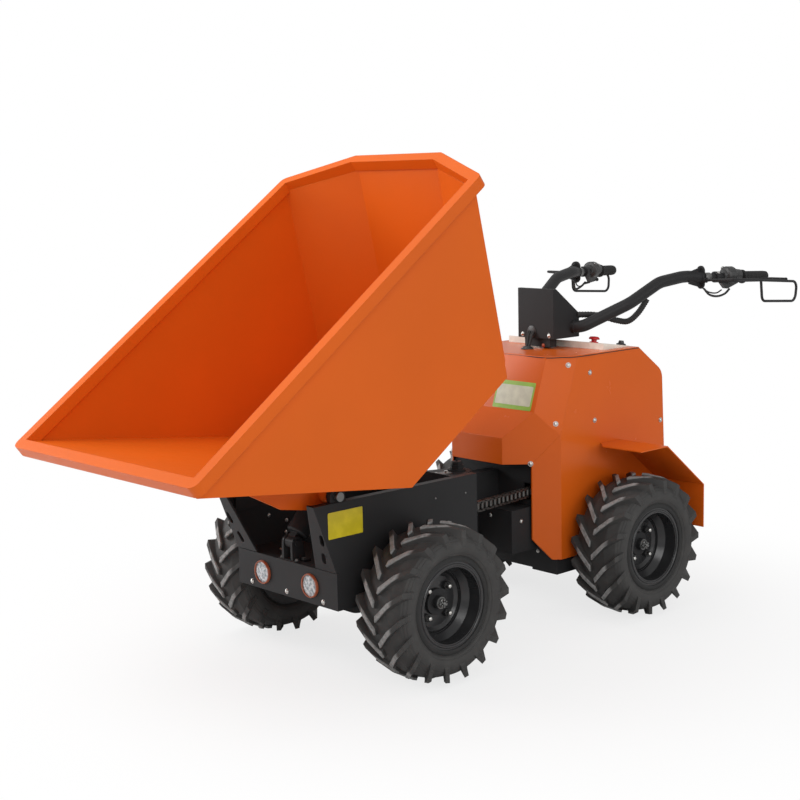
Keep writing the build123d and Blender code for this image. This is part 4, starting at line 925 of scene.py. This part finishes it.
@dataclass
class FrontFrame:
    """Lamp rings, screws, blank warning plates, pivot cap, chain anchors and motor trim."""

    datum: Datum
    face_x: float = 624.5
    lamp_y: float = 98.0
    lamp_z: float = 247.0
    lamp_ring: Profile = ((27.6, 5.2), (29.2, -0.5), (31.6, -0.5), (31.4, 4.6), (30.2, 6.6), (28.4, 6.9))
    warning: Plate = Plate((592.5, 204, 420.5), LEFT, (113, 67), 0.6, 3)
    lower_screws: tuple[Pair, ...] = ((147, 213), (0, 213))
    inner_y: float = 199.0
    inner_screws: tuple[Pair, ...] = ((522.7, 366.3), (462.3, 342.5), (419.5, 316.8), (466.3, 310.4))
    deck_screw: Point = (547, 117, 291)
    side_y: float = 204.0
    side_rivets: tuple[Pair, ...] = ((280.9, 431.9), (169.5, 429))
    clevis_bolts: Route = ((590, 30, 297), (611, 30, 297))
    cap_z: float = 455.0
    cap: Profile = ((17, 0), (17, 8), (15, 10), (TIP, 10))
    nipple: Profile = ((3.4, 10), (3.4, 13), (2.2, 14.5), (3, 16.5), (1.6, 19), (TIP, 19))
    keeper: Plate = Plate((70, 8, 438), UP, (30, 62), 3, 5)
    keeper_screws: Route = ((50, 8, 441), (90, 8, 441))
    anchor: Pair = (106, 168)
    anchor_faces: tuple[Pair, ...] = ((390, 1), (354, -1))
    anchor_nut: Profile = ((8.5, 0), (8.5, 1.6), (7, 1.6), (7, 7), (4, 8), (4, 13), (TIP, 13.5))
    motor_face_x: float = 140.2
    motor_z: float = 223.0
    motor_circle: float = 58.0
    gland_place: Point = (185, 0, 296)
    gland: Profile = ((11, 0), (11, 6), (7, 10), (TIP, 10))
    cable_radius: float = 5.5
    cable: Route = ((185, 0, 300), (183, -6, 322), (160, -40, 335), (138, -80, 330))

    def build(self) -> None:
        """Makes the front chassis's pieces."""
        for side, sign in SIDES:
            ring = Shape(self.datum)
            ring.turned((self.face_x, sign * self.lamp_y, self.lamp_z), AHEAD, self.lamp_ring, 40, ring=True)
            ring.piece(f"lamp_ring_{side}", Palette.AMBER, "front")
            self.warning.shape(self.datum, sign).piece(f"warning_plate_{side}", Palette.YELLOW, "front")
        rows = [Fastener((self.face_x, y, z), AHEAD, 3.6) for y, z in self.lower_screws]
        rows += [Fastener((x, self.inner_y, z), RIGHT, 3) for x, z in self.inner_screws]
        rows += [Fastener(self.deck_screw, UP, 3.2)]
        fasteners(self.datum, "front_screws", "front", Palette.ZINC, rows)
        dark = [Fastener((x, self.side_y, z), LEFT, 3.2, Head.RIVET) for x, z in self.side_rivets]
        dark += [Fastener(place, UP, 3.4, Head.HEX) for place in self.clevis_bolts]
        fasteners(self.datum, "front_rivets", "front", Palette.DULL, dark)
        self.pivot()
        self.motor()

    def pivot(self) -> None:
        """Cap nut, grease nipple and keeper plate on the articulation pin, and chain anchors' nuts."""
        top, cap = (0.0, 0.0, self.cap_z), Shape(self.datum)
        cap.turned(top, UP, self.cap, 6).turned(top, UP, self.nipple, 12)
        cap.piece("pivot_cap", Palette.CAST, "front")
        self.keeper.shape(self.datum).piece("pivot_keeper", Palette.DULL, "front")
        screws = [Fastener(place, UP, 3.4, Head.HEX) for place in self.keeper_screws]
        fasteners(self.datum, "keeper_screws", "front", Palette.ZINC, screws, both=False)
        x, y = self.anchor
        for side, sign in SIDES:
            anchor = Shape(self.datum)
            for z, up in self.anchor_faces:
                anchor.turned((x, sign * y, z), (0.0, 0.0, up), self.anchor_nut, 6)
            anchor.piece(f"anchor_nuts_{side}", Palette.ZINC, "front")

    def motor(self) -> None:
        """Screws, gland and cable of the drive motor between the front wheels."""
        screws = []
        for turn in map(math.radians, QUARTERS):
            y, z = self.motor_circle * math.cos(turn), self.motor_z + self.motor_circle * math.sin(turn)
            screws.append(Fastener((self.motor_face_x, y, z), BACK, 3.6))
        fasteners(self.datum, "motor_screws", "front", Palette.DULL, screws, both=False)
        cable = Shape(self.datum).turned(self.gland_place, UP, self.gland, 12)
        cable.tube(self.cable, self.cable_radius)
        cable.piece("motor_cable", Palette.HOSE, "front")


@dataclass
class RearFrame:
    """Bolts of the black rear frame."""

    datum: Datum
    bolts: tuple[Fastener, ...] = (
        Fastener((-66, 67.8, 307), AHEAD, 3.4),
        Fastener((-105.6, 150, 294.6), LEFT, 3.4),
        Fastener((-194, 132.6, 188.5), AHEAD, 3),
    )

    def build(self) -> None:
        """Makes the bolts."""
        fasteners(self.datum, "rear_bolts", "rear", Palette.ZINC, self.bolts)


@dataclass
class SteeringHead:
    """Bolts, welds, cable bundle and loom of the handlebar's head."""

    datum: Datum
    head_bolt: Fastener = Fastener((-338.5, 52, 796), AHEAD, 3.6)
    neck_bolt: Fastener = Fastener((-345.5, 23, 765), AHEAD, 3.4)
    arm_radius: float = 18.0
    weld: Profile = ((-1, -3), (1.6, -2.2), (2.2, 0), (1.6, 2.2), (-1, 3))
    # Place and axis of each weld.
    weld_rings: tuple[Route, ...] = (((-429.5, 70.5, 816.5), (-0.455, 0.89, 0)),
                                     ((-809, 247.4, 946.3), (-0.875, 0.475, -0.088)))
    cable_radius: float = 2.9
    cable_starts: tuple[float, ...] = (-26, -19, -12, -5)
    cable_bow: float = 3.0
    bend: Route = ((-325, -12, 800), (-312, -8, 758))
    grommet_place: Point = (-311, -9, 756)
    grommet: Profile = ((19, 0), (19, 2), (14, 5), (12, 8), (TIP, 8))
    port_place: Point = (-338.5, -15.5, 806)
    port: Profile = ((17, 0), (17, 1.5), (15, 2.5), (TIP, 2.5))
    loom_radius: float = 9.5
    loom_ribs: float = 1.2
    loom: Route = ((-447, 66, 851), (-500, 98, 847), (-552, 134, 829), (-582, 152, 826), (-606, 170, 850),
                   (-630, 184, 889))

    def build(self) -> None:
        """Makes the head's pieces."""
        fasteners(self.datum, "head_bolts", "column", Palette.ZINC, [self.head_bolt])
        fasteners(self.datum, "neck_bolt", "column", Palette.COPPER, [self.neck_bolt], both=False)
        self.welds()
        self.bundle()
        loom = Shape(self.datum).tube(self.loom, self.loom_radius, sides=14, steps=14, ribs=self.loom_ribs)
        loom.piece("arm_loom", Palette.HOSE, "column")

    def welds(self) -> None:
        """Weld rings where the arms pass the head's cheeks and meet the end plates."""
        for side, sign in SIDES:
            ring = Shape(self.datum)
            for place, axis in self.weld_rings:
                ring.turned(sided(place, sign), sided(axis, sign), grown(self.weld, self.arm_radius), 28)
            ring.piece(f"arm_welds_{side}", Palette.BLACK, "column")

    def bundle(self) -> None:
        """Cables from the head down to the grommet in the hood's lid, bowed by turns."""
        cables = Shape(self.datum)
        for index, y in enumerate(self.cable_starts):
            bow = self.cable_bow * (index % 2)
            route = [(-337.0, y, 806.0), (-329.0 + bow, y + 1.0, 794.0), (-322.0 + bow, y * 0.75, 778.0),
                     (-313.0 + bow, y * 0.55 - 2, 757)]
            cables.tube(route, self.cable_radius, sides=10)
        start, end = (tuple(self.datum.at(*point)) for point in self.bend)
        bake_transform(cables.piece("head_cables", Palette.HOSE, ""))
        grommet = Shape(self.datum).turned(self.grommet_place, UP, self.grommet, 24)
        grommet.piece("cable_grommet", Palette.POD, "rear")
        port = Shape(self.datum).turned(self.port_place, AHEAD, self.port, 24)
        port.piece("cable_port", Palette.POD, "column")


@dataclass
class Controls:
    """Grip ribs, collars, buttons, lever pivots and cables of both handles."""

    datum: Datum
    start: Point = (-812, 249, 946)
    end: Point = (-1065, 305, 936)
    grip_radius: float = 16.0
    grip_length: float = 98.0
    rib: Profile = ((-0.6, -1.6), (0.9, -0.9), (0.9, 0.9), (-0.6, 1.6))
    rib_count: int = 13
    rib_start: float = 10.0
    rib_pitch: float = 6.4
    grip_flange: Profile = ((-1, -1.5), (5, -1), (5.5, 1.5), (4, 3.5), (-1, 4))
    collar_start: float = 8.0
    collar: Profile = ((11, 0), (14, 0), (14, 22), (12.5, 24), (11, 24))
    round_sides: int = 28
    pod_radius: float = 26.0
    pod_up: float = 5.0
    # Each button: distance along the handle, off to its side, above the pod's axis, radius.
    buttons: tuple[tuple[float, ...], ...] = ((101, -19, 22, 5.5), (115, -23, 16, 4.5))
    button: Profile = ((0, 0), (0, 3.5), (-1.2, 5))
    button_top: float = 5.4
    lever_pivot: Point = (59, 8, 12)
    thick_radius: float = 3.4
    thick_cable: Route = ((-812, 258, 912), (-826, 268, 893), (-850, 280, 887), (-880, 286, 893),
                          (-902, 287, 906))
    thin_radius: float = 2.2
    thin_cable: Route = ((-812, 252, 914), (-832, 262, 900), (-858, 270, 896), (-880, 274, 904))

    def along(self, distance: float, sign: float, out: float = 0.0, up: float = 0.0) -> Point:
        """Point by its place along a handle.

        Args:
            distance: From the end plate along the handle, mm.
            sign: 1 for the left handle, -1 for the right.
            out: Off to the handle's outer side, mm.
            up: Above it, mm.

        Returns:
            The point, mm.
        """
        axis = (Vector(self.end) - Vector(self.start)).normalized()
        aside = Vector((axis.y, -axis.x, 0.0)).normalized()
        point = Vector(self.start) + axis * distance + aside * out + Vector((0.0, 0.0, up))
        return sided(tuple(point), sign)

    def build(self) -> None:
        """Makes both handles' pieces."""
        for side, sign in SIDES:
            self.grip(side, sign)
            self.switches(side, sign)
            cables = Shape(self.datum)
            for path, radius in ((self.thick_cable, self.thick_radius), (self.thin_cable, self.thin_radius)):
                cables.tube([sided(point, sign) for point in path], radius, sides=10)
            cables.piece(f"handle_cables_{side}", Palette.HOSE, "column")

    def grip(self, side: str, sign: float) -> None:
        """Grip ribs and flange, and the collar at the end plate.

        Args:
            side: "left" or "right".
            sign: 1 or -1.
        """
        axis = tuple(Vector(self.along(1.0, sign)) - Vector(self.along(0.0, sign)))
        root = (Vector(self.end) - Vector(self.start)).length - self.grip_length
        ribs = Shape(self.datum)
        for index in range(self.rib_count):
            place = self.along(root + self.rib_start + index * self.rib_pitch, sign)
            ribs.turned(place, axis, grown(self.rib, self.grip_radius), self.round_sides)
        flange = grown(self.grip_flange, self.grip_radius)
        ribs.turned(self.along(root, sign), axis, flange, self.round_sides)
        ribs.piece(f"grip_ribs_{side}", Palette.GRIP, "column")
        collar = Shape(self.datum)
        collar.turned(self.along(self.collar_start, sign), axis, self.collar, self.round_sides)
        collar.piece(f"handle_collar_{side}", Palette.DULL, "column")

    def switches(self, side: str, sign: float) -> None:
        """Push buttons on a switch pod, and the lever's pivot screw.

        Args:
            side: "left" or "right".
            sign: 1 or -1.
        """
        buttons = Shape(self.datum)
        for distance, out, lift, size in self.buttons:
            centre = Vector(self.along(distance, sign, 0.0, self.pod_up))
            away = Vector(self.along(distance, sign, out, self.pod_up + lift)) - centre
            foot = centre + away.normalized() * self.pod_radius
            profile = [*grown(self.button, size), (TIP, self.button_top)]
            buttons.turned(tuple(foot), tuple(away), profile, 16)
        buttons.piece(f"buttons_{side}", Palette.DULL, "column")
        distance, out, up = self.lever_pivot
        pivot = Shape(self.datum)
        Fastener(self.along(distance, 1.0, out, up), UP, 3.4, Head.HEX).add(pivot, sign)
        pivot.piece(f"lever_pivot_{side}", Palette.ZINC, "column")


@dataclass
class Coats:
    """Finishes of the CAD nodes."""

    datum: Datum
    nodes: dict[str, bpy.types.Object]

    def build(self) -> None:
        """Dresses every node."""
        rows = {
            Palette.HOOD: [*[name for name in self.nodes if name.startswith("hood")], "mudguards"],
            Palette.ORANGE: ["skip_body", "skip_rim", "skip_brackets"],
            Palette.BLACK: ["front_frame", "rear_frame", "lamp_plate", "column_bracket", "handlebar",
                            "brake_levers", "hand_guards"],
            Palette.CAST: ["front_axle", "rear_axle", "front_drive_motor", "actuator_motor",
                           "actuator_barrel", "battery_pack", "pivot_pin",
                           *[f"hub_{corner.name}" for corner in CORNERS]],
            Palette.RIM: [f"rim_{corner.name}" for corner in CORNERS],
            Palette.CHAIN: ["chain_left", "chain_right"],
            Palette.DULL: ["skip_shaft", "column_bearing"],
            Palette.CHROME: ["actuator_rod"],
            Palette.GRIP: ["grips"],
            Palette.POD: ["switch_pods"],
            Palette.PANEL: ["control_panel"],
            Palette.LENS: ["lamps"],
            Palette.KNOBS: ["panel_switches"],
        }
        for finish, names in rows.items():
            for name in names:
                self.dress(name, finish.material)
        self.tyres()

    def dress(self, name: str, material: bpy.types.Material) -> None:
        """Gives one node a material.

        Args:
            name: The node's name.
            material: Its material.
        """
        slots = self.nodes[name].data.materials
        slots.clear()
        slots.append(material)

    def tyres(self) -> None:
        """Dresses each tyre round its own axle."""
        for corner in CORNERS:
            name = f"tyre_{corner.name}"
            centre = self.nodes[name].matrix_world.inverted() @ self.datum.at(corner.x, 0.0, AXLE_Z)
            self.dress(name, TyreRubber(f"tyre_rubber_{corner.name}", tuple(centre)).material())


# ---- studio
@dataclass(frozen=True)
class Lamp:
    """One soft square lamp: place, target and width in metres, power in watts."""

    name: str
    place: Point
    target: Point
    size: float
    power: float

    def hang(self) -> None:
        """Adds the lamp to the scene."""
        data = bpy.data.lights.new(self.name, "AREA")
        data.size = self.size
        data.energy = self.power
        lamp = bpy.data.objects.new(self.name, data)
        lamp.location = self.place
        lamp.rotation_euler = (Vector(self.target) - Vector(self.place)).to_track_quat("-Z", "Y").to_euler()
        bpy.context.collection.objects.link(lamp)


@dataclass
class Studio:
    """Floor, light and camera."""

    datum: Datum
    lens: float = 67.14
    sensor: float = 36.0
    camera_mm: Point = (2932.5, 2968, 1267)
    yaw: float = -132.5
    pitch: float = -8.50
    roll: float = -1.26
    ambient: float = 0.55
    floor_half: float = 30.0
    floor_drop: float = 0.0005
    floor_grey: float = 0.78
    floor_fade: Pair = (0.6, 1.6)
    floor_white: float = 0.76
    lamps: tuple[Lamp, ...] = (
        Lamp("top", (1.6, -0.6, 3.6), (0.1, 0.0, 0.5), 2.6, 62.0),
        Lamp("front", (2.6, 4.0, 2.8), (0.0, 0.0, 0.6), 2.4, 58.0),
        Lamp("side", (-1.4, 4.0, 1.8), (-0.2, 0.0, 0.5), 2.4, 26.0),
        Lamp("far", (2.4, -3.0, 1.9), (-0.1, 0.0, 0.6), 1.8, 72.0),
    )

    def build(self) -> None:
        """Sets up the whole stage."""
        bpy.context.scene.view_settings.view_transform = "Standard"
        self.floor()
        for lamp in self.lamps:
            lamp.hang()
        self.world()
        self.camera()

    def floor(self) -> None:
        """Floor that the camera sees mostly white, all white away from the machine's shadow."""
        mesh = bpy.data.meshes.new("studio_floor")
        half, z = self.floor_half, -self.floor_drop
        mesh.from_pydata([(-half, -half, z), (half, -half, z), (half, half, z), (-half, half, z)], [],
                         [(0, 1, 2, 3)])
        floor = bpy.data.objects.new("studio_floor", mesh)
        bpy.context.collection.objects.link(floor)
        material = bpy.data.materials.new("studio_floor")
        graph = Graph(material)
        away = graph.node("ShaderNodeVectorMath", {"operation": "LENGTH"}, {0: graph.place()}, out="Value")
        seen = graph.node("ShaderNodeLightPath", out="Is Camera Ray")
        diffuse = graph.node("ShaderNodeBsdfDiffuse", {}, {"Color": (*[self.floor_grey] * 3, 1.0)})
        white = graph.node("ShaderNodeEmission", {}, {"Color": (1.0, 1.0, 1.0, 1.0)})
        share = seen * (away.smooth(*self.floor_fade) * (1.0 - self.floor_white) + self.floor_white)
        mixed = graph.node("ShaderNodeMixShader", {}, {0: share, 1: diffuse, 2: white})
        graph.node("ShaderNodeOutputMaterial", {}, {"Surface": mixed})
        mesh.materials.append(material)

    def world(self) -> None:
        """Even surround, white where the camera sees it."""
        world = bpy.data.worlds.new("studio")
        graph = Graph(world)
        seen = graph.node("ShaderNodeLightPath", out="Is Camera Ray")
        strength = seen * (1.0 - self.ambient) + self.ambient
        back = graph.node("ShaderNodeBackground", {}, {"Color": (1.0, 1.0, 1.0, 1.0), "Strength": strength})
        graph.node("ShaderNodeOutputWorld", {}, {"Surface": back})
        bpy.context.scene.world = world

    def camera(self) -> None:
        """Camera at the three-quarter front view."""
        data = bpy.data.cameras.new("camera")
        data.lens = self.lens
        data.sensor_width = self.sensor
        camera = bpy.data.objects.new("camera", data)
        yaw, pitch, roll = (math.radians(a) for a in (self.yaw, self.pitch, self.roll))
        forward = Vector((math.cos(pitch) * math.cos(yaw), math.cos(pitch) * math.sin(yaw), math.sin(pitch)))
        right = forward.cross(Vector(UP)).normalized()
        up = right.cross(forward)
        side = right * math.cos(roll) + up * math.sin(roll)
        top = up * math.cos(roll) - right * math.sin(roll)
        turn = Matrix((side, top, -forward)).transposed().to_4x4()
        camera.matrix_world = Matrix.Translation(self.datum.at(*self.camera_mm)) @ turn
        bpy.context.collection.objects.link(camera)
        bpy.context.scene.camera = camera


def main() -> None:
    """Builds the whole scene."""
    logging.basicConfig(level=logging.INFO, format="%(message)s")
    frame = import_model()
    datum = Datum.found()
    groups = (Coats(datum, frame["nodes"]), Hood(datum), Wheels(datum), FrontFrame(datum), RearFrame(datum),
              SteeringHead(datum), Controls(datum), Studio(datum))
    for group in groups:
        LOG.info("building %s", type(group).__name__)
        group.build()


if __name__ == "__main__":
    main()
